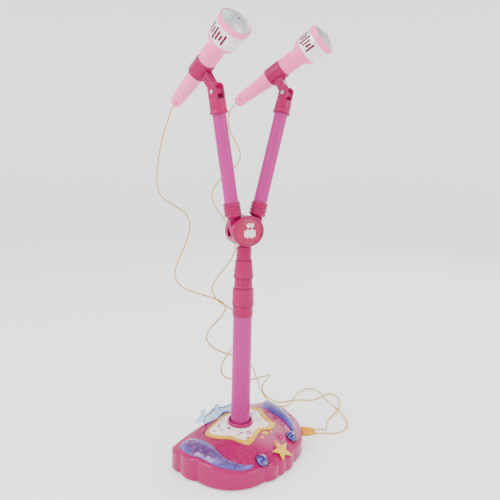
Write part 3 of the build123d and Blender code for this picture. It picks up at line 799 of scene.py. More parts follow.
def decal(outline, x, y, size, angle=0.0, lift=1.42, thick=0.12):
    """A thin printed patch on the panel."""
    ca, sa = cos(radians(angle)), sin(radians(angle))
    pts = [(x + size * (px * ca - py * sa), y + size * (px * sa + py * ca)) for px, py in outline]
    n = len(pts)
    verts = [on_top(px, py, lift) for px, py in pts] + [on_top(px, py, lift + thick) for px, py in pts]
    faces = [tuple(range(n))[::-1], tuple(range(n, 2 * n))]
    faces += [(i, (i + 1) % n, n + (i + 1) % n, n + i) for i in range(n)]
    return verts, faces


def star_outline(points=5, inner=0.45):
    line = []
    for i in range(2 * points):
        a = pi / 2 + pi * i / points
        r = inner if i % 2 else 1
        line.append((r * cos(a), r * sin(a)))
    return line


def heart_outline(count=26):
    pts = []
    for i in range(count):
        t = 2 * pi * i / count
        pts.append((sin(t) ** 3, (13 * cos(t) - 5 * cos(2 * t) - 2 * cos(3 * t) - cos(4 * t)) / 16))
    return pts


NOTE = [(0.25, -0.1), (0.25, 1.0), (0.9, 0.75), (0.9, 0.4), (0.42, 0.6), (0.42, -0.35), (0.3, -0.6),
        (0.0, -0.7), (-0.3, -0.6), (-0.4, -0.35), (-0.25, -0.1), (0.0, -0.02)]
BAR = [(-1.0, -0.22), (1.0, -0.22), (1.0, 0.22), (-1.0, 0.22)]
shapes = []
STAR_MARK, HEART_MARK = star_outline(), heart_outline()
for outline, x, y, size, angle in (
        (NOTE, -37, 4, 4.6, 200), (STAR_MARK, -46, 10, 3.2, 10), (HEART_MARK, -27, -2, 3.0, -30),
        (BAR, -34, 13, 4.0, 20), (BAR, -31, 17, 4.0, 20), (NOTE, -22, -24, 4.8, 120),
        (BAR, -12, -31, 4.5, -18), (BAR, -10, -27.5, 4.5, -18), (STAR_MARK, -20, -37, 3.2, 20),
        (STAR_MARK, 30, 4, 3.6, 0), (HEART_MARK, 35, 15, 3.0, 10), (NOTE, 27, -18, 4.2, 80),
        (BAR, 24, 18, 4.2, 60), (BAR, 40, 6, 3.4, 80), (HEART_MARK, 36, -24, 2.8, 40)):
    shapes.append(decal(outline, x, y, size, angle))
verts, faces = joined(*shapes)
piece("panel_motifs", verts, faces, "print_rose", "stand", BASE, smooth=False)

# ---------------------------------------------------------------- buttons
STAR = dict(at=(8.0, -78.0), lean=30.0)
GEMS = {"left": ((-30.5, -75.0), -12.0), "right": ((45.5, -67.5), 12.0)}
GEM_LEAN = 24.0
LIFT = 2.4


def button_frame(x, y, lean, way=0.0):
    return BASE @ at(x, y, top_height(x, y)) @ turn(way, "Z") @ turn(lean, "X")


def star_ring(outer, inner, z):
    return [(r * cos(pi / 2 + pi * i / 5), r * sin(pi / 2 + pi * i / 5), z)
            for i in range(10) for r in ((outer, inner)[i % 2],)]


star_frame = button_frame(*STAR["at"], STAR["lean"])
rings = [star_ring(16.4, 7.0, LIFT), star_ring(16.8, 7.15, LIFT + 0.5), star_ring(16.8, 7.15, LIFT + 1.8),
         star_ring(16.2, 6.9, LIFT + 2.6)]
verts = [p for ring in rings for p in ring] + [(0, 0, LIFT + 6.6), (0, 0, LIFT)]
faces = []
for k in range(3):
    low, high = 10 * k, 10 * (k + 1)
    faces += [(low + i, low + (i + 1) % 10, high + (i + 1) % 10, high + i) for i in range(10)]
faces += [(30 + i, 30 + (i + 1) % 10, 40) for i in range(10)] + [(i, 41, (i + 1) % 10) for i in range(10)]
stem, stem_faces = lathe([(0, -9.0), (2.9, -9.0), (2.9, LIFT + 0.4), (0, LIFT + 0.4)], 32, 0.3)
verts, faces = joined((verts, faces), (stem, stem_faces))
star = piece("star_cap", verts, faces, "gold", "star_button", star_frame, False, ["star_button"])
bevelled(star, 0.35, 2, 12)

for gem_name, ((gx, gy), way) in GEMS.items():
    place = button_frame(gx, gy, GEM_LEAN, way)
    rings = []
    for k, (r, z) in enumerate(((9.0, 0.0), (9.2, 0.9), (8.6, 1.6), (7.6, 3.4), (5.2, 5.2), (2.4, 6.1))):
        shift = 0.5 * (k % 2)
        rings.append([(r * cos(2 * pi * (i + shift) / 12), r * sin(2 * pi * (i + shift) / 12), LIFT + z)
                      for i in range(12)])
    verts, faces = [p for ring in rings for p in ring], []
    for k in range(5):
        for i in range(12):
            j, lo, hi = (i + 1) % 12, k * 12, (k + 1) * 12
            if k % 2 == 0:
                faces += [(lo + i, lo + j, hi + i), (lo + j, hi + j, hi + i)]
            else:
                faces += [(lo + i, lo + j, hi + j), (lo + i, hi + j, hi + i)]
    faces += [tuple(60 + i for i in range(12)), tuple(i for i in range(12))[::-1]]
    stem, stem_faces = lathe([(0, -8.5), (2.9, -8.5), (2.9, LIFT + 0.4), (0, LIFT + 0.4)], 32, 0.3)
    verts, faces = joined((verts, faces), (stem, stem_faces))
    button = gem_name + "_gem_button"
    gem = piece(gem_name + "_gem_cap", verts, faces, "gem_blue", button, place, False, [button])
    bevelled(gem, 0.25, 2, 8)
    turned(gem_name + "_gem_ring",
           [(9.7, -3.0), (10.9, -3.0), (10.9, 0.8, 0.5), (10.4, 1.7, 0.5), (9.7, 1.0, 0.3)],
           "magenta_base", "stand", place, 72, 0.5, closed=True)

# ---------------------------------------------------------------- splash at the back
def blob(x, y, z, rx, ry, rz, n=20):
    rows = []
    for i in range(n + 1):
        t = pi * i / n
        turns = [2 * pi * k / n for k in range(n)]
        rows.append([(x + rx * sin(t) * cos(a), y + ry * sin(t) * sin(a), z + rz * cos(t)) for a in turns])
    return grid(rows, close_v=True)


# bubbles, each on a neck from the body: x, z, radius, and where its neck starts
BUBBLES = [(-44.5, 46, 5.0, -36, 42), (-52, 44.6, 4.3, -45, 46), (-41.5, 54.8, 4.6, -41, 47),
           (-12, 52.6, 4.8, -12, 45), (26.5, 46, 4.3, 18, 42)]
shapes = [blob(-19, 42, 42, 13.5, 3.4, 11), blob(-5, 42, 42, 10, 3.4, 9), blob(-33, 42, 41, 9, 3.4, 7.5),
          blob(8, 42, 40.5, 10, 3.4, 8.5), blob(18, 42, 41, 8, 3.4, 7)]
for x, z, r, nx, nz in BUBBLES:
    shapes.append(blob(x, 42, z, r, 3.3, r))
    neck = [(nx, 42, nz), ((x + nx) / 2, 42, (z + nz) / 2), (x, 42, z)]
    shapes.append(capped(tube(neck, [2.6, 2.0, 2.2], 12)))
verts, faces = joined(*shapes)
verts = [(x, y, max(z, top_height(x, 42) - 1.0)) for x, y, z in verts]
splash = piece("splash_body", verts, faces, "splash_blue", "stand", BASE,
               replaces=["splash_ornament"])
remesh = splash.modifiers.new("melt", "REMESH")
remesh.mode = "VOXEL"
remesh.voxel_size = 0.0009
relax = splash.modifiers.new("relax", "SMOOTH")
relax.factor = 0.5
relax.iterations = 5
bpy.context.view_layer.update()
melted = bpy.data.meshes.new_from_object(splash.evaluated_get(bpy.context.evaluated_depsgraph_get()))
splash.modifiers.clear()
splash.data = melted
for face in melted.polygons:
    face.use_smooth = True

rows = []
for i in range(40):
    u = i / 39
    row = []
    for j in range(40):
        v = j / 39
        x, y = -12 + 26 * u, 34.5 + 6.5 * v
        h = 6.0 * sin(pi * u) ** 0.7 * sin(pi * v) ** 0.6 + 0.5 * (hex_dome(26 * u, 6.5 * v, 2.6) - 0.4)
        row.append(on_top(x, y, max(-0.3, h)))
    rows.append(row)
verts, faces = grid(rows)
under = [(x, y, top_height(x, y) - 0.6) for x, y, z in verts]
ring = list(range(40)) + [i * 40 + 39 for i in range(1, 40)] + [39 * 40 + j for j in range(38, -1, -1)]
ring += [i * 40 for i in range(38, 0, -1)]
count = len(verts)
faces += [tuple(count + k for k in face)[::-1] for face in faces]
faces += [(a, b, count + b, count + a) for a, b in zip(ring, ring[1:] + ring[:1])]
root = piece("splash_root", verts + under, faces, "tail_purple", "stand", BASE)
tinted(root, BASE, verts + under, [0.6] * (2 * count))

# ---------------------------------------------------------------- pole and mast
turned("pole_lower", [(13.7, 10), (15, 10), (15, 222), (13.7, 222)], "orchid_tube", "stand",
       None, 128, 0.4, closed=True, replaces=["lower_tube"])
turned("pole_lock_body",
       [(15.05, 210), (16.3, 210), (16.3, 211.2), (15.9, 211.8), (15.9, 213.2), (16.6, 213.8), (16.6, 215.4),
        (16.0, 216), (16.0, 222.4), (16.6, 223), (16.6, 224.6), (16.1, 225.2), (16.1, 226), (14.6, 226),
        (14.6, 253.4), (12.6, 253.4), (12.6, 222.1), (15.05, 222.1)],
       "magenta_parts", "stand", None, 128, 0.3, closed=True, replaces=["lock_body"])


def knurl(count, depth, low, high):
    def warp(r, a, z):
        return r - depth * (0.5 + 0.5 * cos(count * a)) if low < z < high and r > 15.5 else r
    return warp


turned("pole_lock_nut",
       [(14.65, 226.4), (17.3, 226.4), (17.6, 227.6), (17.6, 229.6), (17.1, 230.4), (17.1, 233), (17.0, 247),
        (16.7, 251), (16.4, 252.9), (14.65, 252.9)],
       "magenta_parts", "lock_nut", None, 216, 0.5, closed=True,
       warp=knurl(36, 0.22, 231.5, 249.5), replaces=["lock_nut"])


def slots(r, a, z):
    if r > 13.4 and 258.6 < z < 267.4:
        near = abs((a * 12 / (2 * pi)) % 1 - 0.5)
        if near > 0.42:
            return 13.4
    return r


JAW = [(12.6, 253.5), (14.5, 253.5), (14.7, 255.5)]
JAW += [(14.65, z) for z in (256.5, 258.5, 258.7)] + [(14.5, 261), (14.4, 263), (14.35, 265), (14.3, 267.3)]
JAW += [(14.3, 267.5), (14.2, 268.6), (12.6, 268.6)]
turned("pole_lock_jaw", JAW, "magenta_parts", "stand", None, 240, 0.12, closed=True,
       warp=slots, replaces=["lock_jaw"])


def teeth(r, a, z):
    if z < 272.2 and r > 15.0:
        if abs((a * 24 / (2 * pi)) % 1 - 0.5) > 0.36:
            return 15.2
    return r


turned("connector_body",
       [(12.55, 269.1), (15.8, 269.1), (15.9, 270.2), (16.0, 271.6), (16.0, 272.1), (16.1, 272.5),
        (15.9, 273.6), (15.3, 275), (14.9, 281), (14.1, 290), (13.6, 295), (13.2, 297), (6.05, 297),
        (6.05, 285.1), (12.55, 285.1)],
       "magenta_parts", "mast", None, 240, 0.25, closed=True, warp=teeth,
       replaces=["connector_sleeve"])
turned("pole_inner", [(11.3, 40), (12.5, 40), (12.5, 285), (11.3, 285)], "orchid_tube", "mast",
       None, 96, 0.3, closed=True, replaces=["inner_tube"])

# ---------------------------------------------------------------- hub
NECK = [(0, 286), (5.9, 286), (5.9, 297.2), (11.6, 297.2)]
for z in (299.4, 304.4, 309.4, 314.4):
    NECK += [(11.5, z - 1.5), (12.5, z - 1.0), (12.5, z + 1.0), (11.5, z + 1.5)]
NECK += [(11.5, 318.6), (7.0, 318.6), (7.0, 325), (9.5, 325), (9.5, 328), (0, 328)]
turned("hub_neck_ribbed", NECK, "magenta_parts", "hub", None, 112, 0.35,
       replaces=["hub_neck"])

# badge with a generic sound-bar motif
BADGE_Y = -15.5


def hub_plate(outline, y0, y1, x=0.0, z=0.0, size=1.0):
    pts = [(x + size * px, z + size * pz) for px, pz in outline]
    n = len(pts)
    verts = [(px, y0, HUB_Z + pz) for px, pz in pts] + [(px, y1, HUB_Z + pz) for px, pz in pts]
    faces = [tuple(range(n))[::-1], tuple(range(n, 2 * n))]
    faces += [(i, (i + 1) % n, n + (i + 1) % n, n + i) for i in range(n)]
    return verts, faces


rings = []
ratio = 19.5 / 23.0
turns = [2 * pi * i / 96 for i in range(96)]
for grow, y in ((23.0, 0.15), (23.0, 0.75), (22.6, 0.35), (21.6, 0.25), (20.6, 0.65), (19.8, 0.95),
                (18.6, 0.95), (10.0, 0.85), (0.3, 0.8)):
    rings.append([(grow * cos(a), BADGE_Y + 1.25 - y, HUB_Z + grow * ratio * sin(a)) for a in turns])
rings.insert(0, [(x, BADGE_Y + 1.2, z) for x, y, z in rings[0]])
verts, faces = grid(rings, close_v=True)
faces += [tuple(range(96))[::-1], tuple(range(len(rings) * 96 - 96, len(rings) * 96))]
piece("hub_badge_disc", verts, faces, "badge_pink", "hub", replaces=["hub_badge"])
shapes = []
for k, h in enumerate((2.6, 3.6, 2.8, 3.8, 2.6)):
    shapes.append(hub_plate([(-0.85, -h), (0.85, -h), (0.85, h), (-0.85, h)], BADGE_Y + 0.32, BADGE_Y + 0.12,
                            -3.7 + 2.7 * k, 9.4))
for k, h in enumerate((4.8, 6.8, 5.6, 7.2, 5.0)):
    shapes.append(hub_plate([(-1.45, -h), (1.45, -h), (1.45, h), (-1.45, h)], BADGE_Y + 0.32, BADGE_Y + 0.12,
                            -6.9 + 4.1 * k, -3.4))
verts, faces = joined(*shapes)
piece("hub_badge_bars", verts, faces, "print_white", "hub", smooth=False)


# ---------------------------------------------------------------- arms, forks, clips
def cross_head(radius, height, slot_len, slot_w, depth):
    """A screw head with a cross recess, on Z from 0."""
    rows = []
    for i in range(22):
        t = i / 21
        r = radius * t
        row = []
        for k in range(72):
            a = 2 * pi * k / 72
            x, y = r * cos(a), r * sin(a)
            z = height * sqrt(max(0.0, 1 - (t * 0.86) ** 2))
            inside = (abs(x) < slot_w and abs(y) < slot_len) or (abs(y) < slot_w and abs(x) < slot_len)
            row.append((x, y, z - (depth if inside else 0.0)))
        rows.append(row)
    rows.append([(radius * cos(2 * pi * k / 72), radius * sin(2 * pi * k / 72), 0.0) for k in range(72)])
    verts, faces = grid(rows, close_v=True)
    last = len(rows) * 72 - 72
    faces.append(tuple(range(last, last + 72)))
    return verts, faces


def rounded_ear(y0, y1, r, z0, zc, n=16):
    pts = [(y0, z0), (y1, z0)]
    for k in range(n + 1):
        t = pi * k / n
        pts.append((r * cos(t), zc + r * sin(t)))
    return pts


ON_X = Matrix(((0, 0, 1, 0), (1, 0, 0, 0), (0, 1, 0, 0), (0, 0, 0, 1)))   # prism's (x, y, z) to (y, z, x)

for n, s in SIDES.items():
    arm, fork, clip, mic = ARM[n], FORK[n], CLIP[n], MIC[n]
    ribs = [(0, 19.0), (7.5, 19.0), (12.2, 21.6)]
    for z in (24.5, 30.0, 35.5, 41.0):
        ribs += [(12.7, z - 2.0), (13.8, z - 1.4), (13.8, z + 1.2), (12.7, z + 1.8)]
    ribs += [(13.0, 43), (11.05, 43), (11.05, 27), (0, 27)]
    collar = lathe(ribs, 112, 0.4)
    round_end = [(9 * cos(pi + pi * k / 20), 9 * sin(pi + pi * k / 20)) for k in range(21)]
    tongue = prism(round_end + [(9, 19.6), (-9, 19.6)], -4.45, 4.45)
    stand_up = Matrix(((1, 0, 0, 0), (0, 0, -1, 0), (0, 1, 0, 0), (0, 0, 0, 1)))
    verts, faces = joined(collar, (tongue[0], tongue[1], stand_up))
    knuckle = piece(n + "_knuckle_ribbed", verts, faces, "magenta_parts", n + "_arm", arm,
                    replaces=[n + "_knuckle"])
    bevelled(knuckle, 0.4, 2, 40)
    end = 204.7 + s["reach"]
    turned(n + "_tube", [(9.8, 28), (11, 28), (11, end), (9.8, end)], "orchid_tube", n + "_arm",
           arm, 112, 0.3, closed=True, replaces=[n + "_arm_tube"])

    socket = lathe([(0, 205.2), (11.08, 205.2), (11.08, 188.2), (14.4, 188), (14.9, 188.8), (14.9, 190.4),
                    (13.7, 192.6), (13.4, 195), (13.25, 207.4), (13.2, 209.4), (12.4, 211), (0, 211)],
                   112, 0.5)
    shapes = [socket]
    for way in (-1, 1):
        x0, x1 = sorted((way * 6.2, way * 10.2))
        ear = prism(rounded_ear(-8.4, 8.4, 8.4, 209.5, TILT_AT + 6), x0, x1)
        shapes.append((ear[0], ear[1], ON_X))
        boss = lathe([(0, 0), (4.9, 0), (4.9, 0.75), (4.0, 0.75), (3.9, 0.2), (0, 0.2)], 40, 0.15)
        tip = at(way * 10.1, 0, TILT_AT) @ turn(90 * way, "Y")
        shapes.append((boss[0], boss[1], tip))
    verts, faces = joined(*shapes)
    holder = piece(n + "_fork_socket", verts, faces, "magenta_parts", n + "_fork", fork,
                   replaces=[n + "_fork"])
    bevelled(holder, 0.6, 3, 40)
    shaft = lathe([(0, -10.2), (2.0, -10.2), (2.0, 10.2), (0, 10.2)], 32, 0.1)
    head = cross_head(3.5, 1.55, 2.1, 0.5, 0.7)
    verts, faces = joined((shaft[0], shaft[1], turn(90, "Y")),
                          (head[0], head[1], at(10.25, 0, 0) @ turn(90, "Y")),
                          (head[0], head[1], at(-10.25, 0, 0) @ turn(-90, "Y")))
    piece(n + "_fork_screw", verts, faces, "steel", n + "_fork", fork @ at(0, 0, TILT_AT), True,
          [n + "_tilt_screw"])

    # channel link and sleeve
    side_plate = [(7.6 * cos(pi / 2 + pi * k / 16), 7.6 * sin(pi / 2 + pi * k / 16)) for k in range(17)]
    side_plate += [(12, -7.0), (32, -8.2), (35, -8.2), (35, 8.2), (32, 8.2), (12, 7.2)]
    shapes = []
    for x0, x1 in ((-6.0, -3.5), (3.5, 6.0)):
        plate = prism(side_plate, x0, x1)
        shapes.append((plate[0], plate[1], ON_X))
    for poly in ([(6, 4.2), (34, 4.2), (34, 7.2), (6, 7.2)], [(4.5, -5.5), (9, -5.5), (9, 5.5), (4.5, 5.5)],
                 [(30, -7.6), (33, -7.6), (33, 7), (30, 7)]):
        web = prism(poly, -3.7, 3.7)
        shapes.append((web[0], web[1], ON_X))
    barrel = lathe([(2.1, -5.9), (6.6, -5.9), (6.6, 5.9), (2.1, 5.9)], 48, 0.3, closed=True)
    shapes.append((barrel[0], barrel[1], turn(90, "Y")))
    verts, faces = joined(*shapes)
    link = piece(n + "_link_channel", verts, faces, "magenta_parts", n + "_clip", clip,
                 replaces=[n + "_clip"])
    bevelled(link, 0.6, 3, 40)
    turned(n + "_sleeve",
           [(14.7, -15), (16.0, -15), (16.4, -13.6), (16.5, -4), (16.5, 4), (16.4, 13.6), (16.0, 15),
            (14.7, 15)],
           "magenta_parts", n + "_clip", clip @ at(0, LINK, 0), 112, 0.6, closed=True)

    # microphone
    def flutes(r, a, z):
        if 14 < z < 74 and r > 8.6:
            fade = min(1.0, (z - 14) / 6, (74 - z) / 6)
            return r - 0.42 * fade * (0.5 + 0.5 * cos(18 * a)) ** 2
        return r

    grip = [(3.3, 4), (3.3, 0), (7.4, 0), (9.3, 1.8), (9.8, 5), (10.25, 9), (10.8, 16), (11.6, 32),
            (12.4, 48), (13.2, 62), (14.0, 76), (14.3, 100), (14.4, 106.4), (14.8, 107)]
    for i in range(6):
        z = 109.5 + 4.1 * i
        grip += [(14.7, z - 1.35), (15.9, z - 0.75), (15.9, z + 0.75), (14.7, z + 1.35)]
    grip += [(14.6, 134), (14.9, 138), (13.0, 138), (13.0, 134), (12.4, 100), (12.2, 80), (8.4, 8), (7.8, 4)]
    turned(n + "_handle_shell", grip, "mic_pink", n + "_mic", mic, 144, 0.6, closed=True,
           warp=flutes, replaces=[n + "_mic_handle"])
    turned(n + "_head_cone",
           [(13.0, 138), (14.9, 138), (16.2, 139), (18.8, 142.8), (21.2, 146.9), (22.2, 148.2), (23.9, 149.0),
            (24.35, 150.4), (24.4, 152.2), (24.2, 152.9), (23.5, 153.1), (25.0, 180), (23.0, 180), (21.6, 153),
            (14.4, 139.5), (13.0, 139.5)],
           "mic_pink", n + "_mic", mic, 144, 0.5, closed=True, replaces=[n + "_mic_head"])
    turned(n + "_label_band", [(23.55, 153.1), (24.1, 153.1), (25.58, 179.9), (25.05, 179.9)], "band_silver",
           n + "_mic", mic, 144, 0.2, closed=True, replaces=[n + "_mic_band"])
    turned(n + "_rim_ring",
           [(24.65, 185.1), (21.6, 185.1), (21.6, 180.1), (25.9, 180.1), (26.3, 180.6), (26.6, 182.2),
            (26.7, 185), (26.75, 188.3), (26.3, 189.6), (25.5, 190), (24.7, 189.5)],
           "mic_pink", n + "_mic", mic, 144, 0.5, closed=True, replaces=[n + "_mic_rim"])

    # equaliser bars printed on the label, in place of any wording
    shapes = []
    for centre in (0.0, 180.0):
        for k, (low, high) in enumerate(((6, 20), (3, 23), (7, 19), (2.5, 23.5), (5, 21), (8, 18), (4, 22))):
            mid = radians(centre - 38 + 13 * k)
            edges = []
            for z, lift in ((low, -0.05), (low, 0.1), (high, 0.1), (high, -0.05)):
                z += 153
                edges.append((24.1 + 1.48 * (z - 153.1) / 26.8 + lift, z))
            rows = []
            for i in range(7):
                a = mid + radians(4.0) * (i / 3 - 1)
                rows.append([(r * cos(a), r * sin(a), z) for r, z in edges])
            v, f = grid(rows, close_v=True)
            f += [(0, 1, 2, 3), (27, 26, 25, 24)]
            shapes.append((v, f))
    verts, faces = joined(*shapes)
    piece(n + "_label_bars", verts, faces, "print_crimson", n + "_mic", mic, smooth=False)

    # grille: a dome pressed with small dimples, and a near-black disc as painted shade for its one hole
    radius, centre, spread = 49.1, 147.05, 0.521
    rows = []
    for i in range(92):
        t = i / 91 * spread
        row = []
        for k in range(220):
            a = 2 * pi * k / 220
            dimple = hex_dome(radius * t * cos(a) + 40, radius * t * sin(a) + 40, 2.05)
            r = radius - 0.05 - 0.45 * dimple * min(1.0, (spread - t) * 24)
            x, y, z = r * sin(t) * cos(a), r * sin(t) * sin(a), centre + r * cos(t)
            row.append((x, y, z))
        rows.append(row)
    skirt = [[(rr * cos(2 * pi * k / 220), rr * sin(2 * pi * k / 220), z) for k in range(220)]
             for rr, z in ((24.5, 188.9), (24.5, 185.2), (23.4, 185.2), (23.4, 187.4), (17.0, 190.8),
                           (10.0, 193.4), (0.0, 194.2))]
    verts, faces = grid(rows + skirt, close_v=True)
    piece(n + "_grille_dome", verts, faces, "grille_silver", n + "_mic", mic,
          replaces=[n + "_mic_grille"])
    # the hole is not cut; this dark disc is its painted shade
    dot = lathe([(0, 0.0), (1.75, 0.0), (1.75, 0.55), (1.2, 0.75), (1.0, 0.35), (0, 0.35)], 40, 0.12)
    tilt = mic @ at(0, 0, centre + radius - 0.4)
    piece(n + "_grille_hole_shade", dot[0], dot[1], "dark_plastic", n + "_mic", tilt)

    # moulded screw hole near the tail, a flush disc of darker pink as painted shade, and the grommet
    for mark, angle in (("b", 212), ("a", 32)):
        # the screw hole is not cut; its dark colour is painted shade
        pit = lathe([(0, 0), (1.9, 0), (1.9, 0.5), (1.45, 0.62), (1.25, 0.25), (0, 0.25)], 32, 0.12)
        place = mic @ at(0, 0, 13) @ turn(angle, "Z") @ turn(90, "Y") @ at(0, 0, 10.2)
        piece(n + "_tail_pit_" + mark, pit[0], pit[1], "speaker_hole", n + "_mic", place)
    turned(n + "_grommet_cuff",
           [(1.35, -2.2), (2.6, -2.2), (4.0, -1.4), (4.6, -0.5), (4.6, 0), (3.2, 0.1), (3.2, 4), (1.35, 4)],
           "mic_pink", n + "_mic", mic, 48, 0.3, closed=True, replaces=[n + "_mic_grommet"])

# ---------------------------------------------------------------- plugs
WALL_MIDDLE = Vector((80.5, -61.4))     # middle of the wall's bulge with the jacks, and its radius
WALL_R = 70.4
JACK_WAY = Vector((0.722, -0.692))
JACK_SIDE = Vector((0.692, 0.722))
for plug_name, shift in (("upper", 14.0), ("lower", 4.0)):
    p = WALL_MIDDLE + JACK_SIDE * shift - JACK_WAY * (shift ** 2 / (2 * WALL_R))
    heading = turn(-43.78, "Z") @ turn(90, "Y")
    place = BASE @ at(p.x, p.y, 14) @ heading
    body = [(0, -9.8), (1.2, -9.8), (1.75, -9), (1.75, 1.2), (4.0, 1.2), (4.4, 1.7), (4.4, 7.0)]
    for z in (8.2, 10.0, 11.8):
        body += [(4.4, z - 0.5), (4.0, z - 0.3), (4.0, z + 0.3), (4.4, z + 0.5)]
    body += [(4.4, 13.6), (3.5, 16.4), (3.3, 17.6), (2.9, 18.0), (3.1, 19.2), (2.7, 19.6), (2.9, 20.8),
             (2.5, 21.2), (2.6, 22.6), (2.2, 24), (1.35, 24), (1.35, 20), (0, 20)]
    turned(plug_name + "_plug_body", body, "plug_amber", "stand", place, 64, 0.2,
           replaces=[plug_name + "_plug"])

# ---------------------------------------------------------------- cords
# The routes of part.py.
LEFT_ROUTE = [
    (-83.65, 96.63, 549.6), (-85.86, 108.17, 541.98), (-91, 108.5, 525), (-100, 102, 501.5),
    (-108.5, 96.5, 475), (-114, 92, 445), (-116, 90, 415), (-110, 88, 394), (-90, 84, 380), (-67, 79, 367),
    (-60, 76, 347), (-67, 74, 320), (-82, 70, 293), (-91, 68, 271), (-84, 64, 251), (-60, 60, 239),
    (-31, 56, 228), (-10, 53, 220), (-3, 49, 208), (-17, 46, 193), (-37, 44, 180), (-44, 43, 166),
    (-32, 45, 149), (-7, 48, 134), (22, 53, 121), (47, 60, 106), (68, 74, 82), (84, 88, 55), (97, 96, 30),
    (111, 96, 9.1), (125, 86.5, -0.5), (142.5, 75.5, -1.2), (158, 82, 0.7), (171, 93, 1.9),
    (188.5, 106.5, 0.7), (211.5, 119.5, -2.9), (228, 122, -3.7), (233.5, 106, -1.7), (228.5, 87, 1.9),
    (222.5, 67, 1.5), (218.5, 44.5, 1.9), (216.5, 20.5, 1.9), (214, -3, -1.7), (205.5, -23, -3.7),
    (188, -35.5, -2.3), (167, -44.5, 1.9), (147.5, -51.5, 7.9), (127.92, -50.02, 14), (115.53, -43.5, 14),
]
RIGHT_ROUTE = [
    (32.73, 92.56, 560.6), (26.6, 102.86, 553.36), (19.5, 102.5, 537), (15, 92, 512.5), (23.5, 82.5, 490),
    (32, 74, 469), (21, 66, 448), (-6, 59, 431), (-28, 54, 413), (-36, 51, 398), (-30, 47, 378),
    (-13, 43, 356), (3, 39, 332), (6, 37, 308), (-5, 38, 287), (-24, 40, 267), (-37, 41, 249),
    (-31, 39, 230), (-13, 37, 217), (10, 35, 203), (25, 34, 181), (15, 34, 158), (-6, 37, 136),
    (-18, 40, 115), (-9, 46, 95), (20, 54, 81), (54, 63, 71), (88, 74, 66), (112, 86, 62), (113, 99, 48),
    (108, 112, 30), (117.5, 119, 9.1), (130.5, 109, -1.7), (144, 95.5, -3.7), (166, 96.5, -3.7),
    (186.5, 87.5, -3.7), (203.5, 76.5, -3.7), (229, 80.5, -3.7), (253, 86.5, -3.7), (258, 66, -3.7),
    (242, 40, -3.7), (212.5, 18.5, -3.7), (187.5, 7.5, -3.3), (170.5, -5.5, -0.5), (156.5, -23.5, 4.3),
    (144.5, -38, 9.1), (131.45, -40.58, 14), (119.06, -34.05, 14),
]
# Each cord is one run of tube, cut where the next body takes hold of it: heights.
LEFT_CUTS = [500, 462, 425, 345, 290, 125]
RIGHT_CUTS = [505, 470, 435, 360, 290, 125]


def spline_points(name, route):
    """Points read from the smooth NURBS line through a cord's route."""
    curve = bpy.data.curves.new(name, "CURVE")
    curve.dimensions = "3D"
    spline = curve.splines.new("NURBS")
    spline.points.add(len(route) - 1)
    for point, place in zip(spline.points, route):
        point.co = (*place, 1.0)
    spline.order_u = 3
    spline.use_endpoint_u = True
    spline.resolution_u = 10
    obj = bpy.data.objects.new(name, curve)
    bpy.context.scene.collection.objects.link(obj)
    bpy.context.view_layer.update()
    mesh = bpy.data.meshes.new_from_object(obj.evaluated_get(bpy.context.evaluated_depsgraph_get()))
    line = [v.co.copy() for v in mesh.vertices]
    bpy.data.objects.remove(obj)
    bpy.data.meshes.remove(mesh)
    return line


def run_length(points):
    return sum((b - a).length for a, b in zip(points, points[1:]))


def lay_cord(name, route, cuts):
    """The cord as tubes end to end, cut at the given heights; the last one rides on the stand."""
    line = spline_points(name, route)
    rings = tube(line, CORD_D / 2, 12)
    marks = [0]
    for z in cuts:
        marks.append(next(i for i in range(marks[-1] + 1, len(line)) if line[i].z < z))
    marks.append(len(line) - 1)
    for k, (a, b) in enumerate(zip(marks, marks[1:])):
        verts, faces = capped(rings[a:b + 1])
        last = k == len(marks) - 2
        part = piece(f"{name}_{k + 1}", verts, faces, "cord_yellow", "stand" if last else None,
                     replaces=[name])
        if not last:
            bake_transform(part)
    return run_length(line)


for n, route, cuts, plug in (("left", LEFT_ROUTE, LEFT_CUTS, "lower_plug_body"),
                             ("right", RIGHT_ROUTE, RIGHT_CUTS, "upper_plug_body")):
    total = lay_cord(n + "_cord", route, cuts)
    print(n, "cord", round(total), "mm")

# ---------------------------------------------------------------- finishes on the CAD nodes that stay
slot_of = {entry["node"]: entry["material_slot"] for entry in frame["record"]["subparts"]}
for node, obj in frame["nodes"].items():
    obj.data.materials.clear()
    obj.data.materials.append(MAT[slot_of[node]])

# ---------------------------------------------------------------- floor, light and camera
def make_paper(tone, glow):
    m = Nodes("studio_paper")
    stops = [(0.3, (tone, tone, tone + 0.005, 1)), (0.7, (tone + 0.02, tone + 0.02, tone + 0.025, 1))]
    m.link(m.ramp(m.noise(2.0), stops), m.shader.inputs["Base Color"])
    m.set(Roughness=0.95, Emission_Color=(1.0, 1.0, 1.0, 1.0), Emission_Strength=glow)
    return m.mat


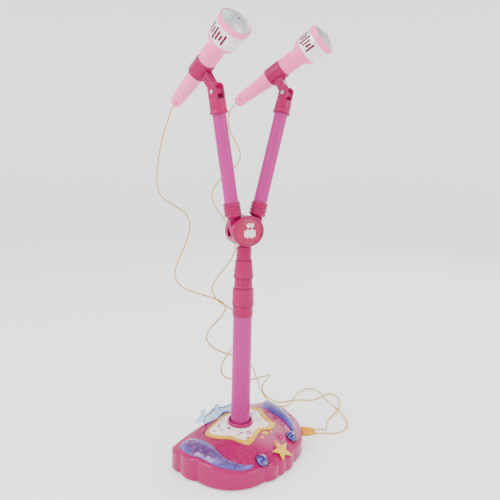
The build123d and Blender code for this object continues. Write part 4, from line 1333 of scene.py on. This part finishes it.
CAM_AZ = radians(-30.0)
CAM_RIGHT = Vector((cos(CAM_AZ), sin(CAM_AZ), 0))
CAM_BACK = Vector((sin(CAM_AZ), -cos(CAM_AZ), 0))
MAT["paper"] = make_paper(0.84, 0.5)
bowl = [(0.001, 0)] + [(400 * k, 0) for k in range(1, 8)]
bend = [radians(a) for a in range(6, 91, 6)]
bowl += [(2800 + 900 * sin(a), 900 - 900 * cos(a)) for a in bend] + [(3700, 4200)]
verts, faces = lathe(bowl, 96, 0)
paper = bpy.data.meshes.new("studio_floor")
paper.from_pydata([Vector(v) * MM for v in verts], [], faces)
paper.materials.append(MAT["paper"])
for face in paper.polygons:
    face.use_smooth = True
floor = bpy.data.objects.new("studio_floor", paper)
bpy.context.scene.collection.objects.link(floor)

world = bpy.data.worlds.new("studio")
world.use_nodes = True
world.node_tree.nodes["Background"].inputs["Color"].default_value = (1.0, 1.0, 1.0, 1.0)
world.node_tree.nodes["Background"].inputs["Strength"].default_value = 0.6
bpy.context.scene.world = world


def softbox(name, place, target, size, power):
    light = bpy.data.lights.new(name, "AREA")
    light.shape = "RECTANGLE"
    light.size, light.size_y = size
    light.energy = power
    obj = bpy.data.objects.new(name, light)
    obj.location = place
    obj.rotation_euler = (Vector(target) - Vector(place)).to_track_quat("-Z", "Y").to_euler()
    bpy.context.scene.collection.objects.link(obj)


softbox("key_left", CAM_BACK * 1.1 - CAM_RIGHT * 1.5 + Vector((0, 0, 1.5)), (0, 0, 0.3), (0.9, 1.6), 44)
softbox("fill_right", CAM_BACK * 0.9 + CAM_RIGHT * 1.6 + Vector((0, 0, 1.1)), (0, 0, 0.3), (0.7, 1.6), 18)
softbox("top_soft", Vector((0, 0, 2.3)), (0, 0, 0), (1.6, 1.6), 22)
softbox("rim_back", CAM_RIGHT * 0.9 - CAM_BACK * 1.5 + Vector((0, 0, 1.3)), (0, 0, 0.3), (0.8, 1.2), 12)

cam = bpy.data.cameras.new("photo_camera")
cam.sensor_width = 36.0
cam.lens = 478.8 / 500 * 36.0
cam.shift_y = -0.16
cam_obj = bpy.data.objects.new("photo_camera", cam)
eye = CAM_BACK * 0.760 + CAM_RIGHT * 0.0066 + Vector((0, 0, 0.440 + RISE * MM))
roll = radians(1.28)
right, up, back = CAM_RIGHT, Vector((0, 0, 1)), CAM_BACK
r2 = right * cos(roll) + up * sin(roll)
u2 = up * cos(roll) - right * sin(roll)
cam_obj.matrix_world = Matrix(((r2.x, u2.x, back.x, eye.x), (r2.y, u2.y, back.y, eye.y),
                               (r2.z, u2.z, back.z, eye.z), (0, 0, 0, 1)))
bpy.context.scene.collection.objects.link(cam_obj)
bpy.context.scene.camera = cam_obj
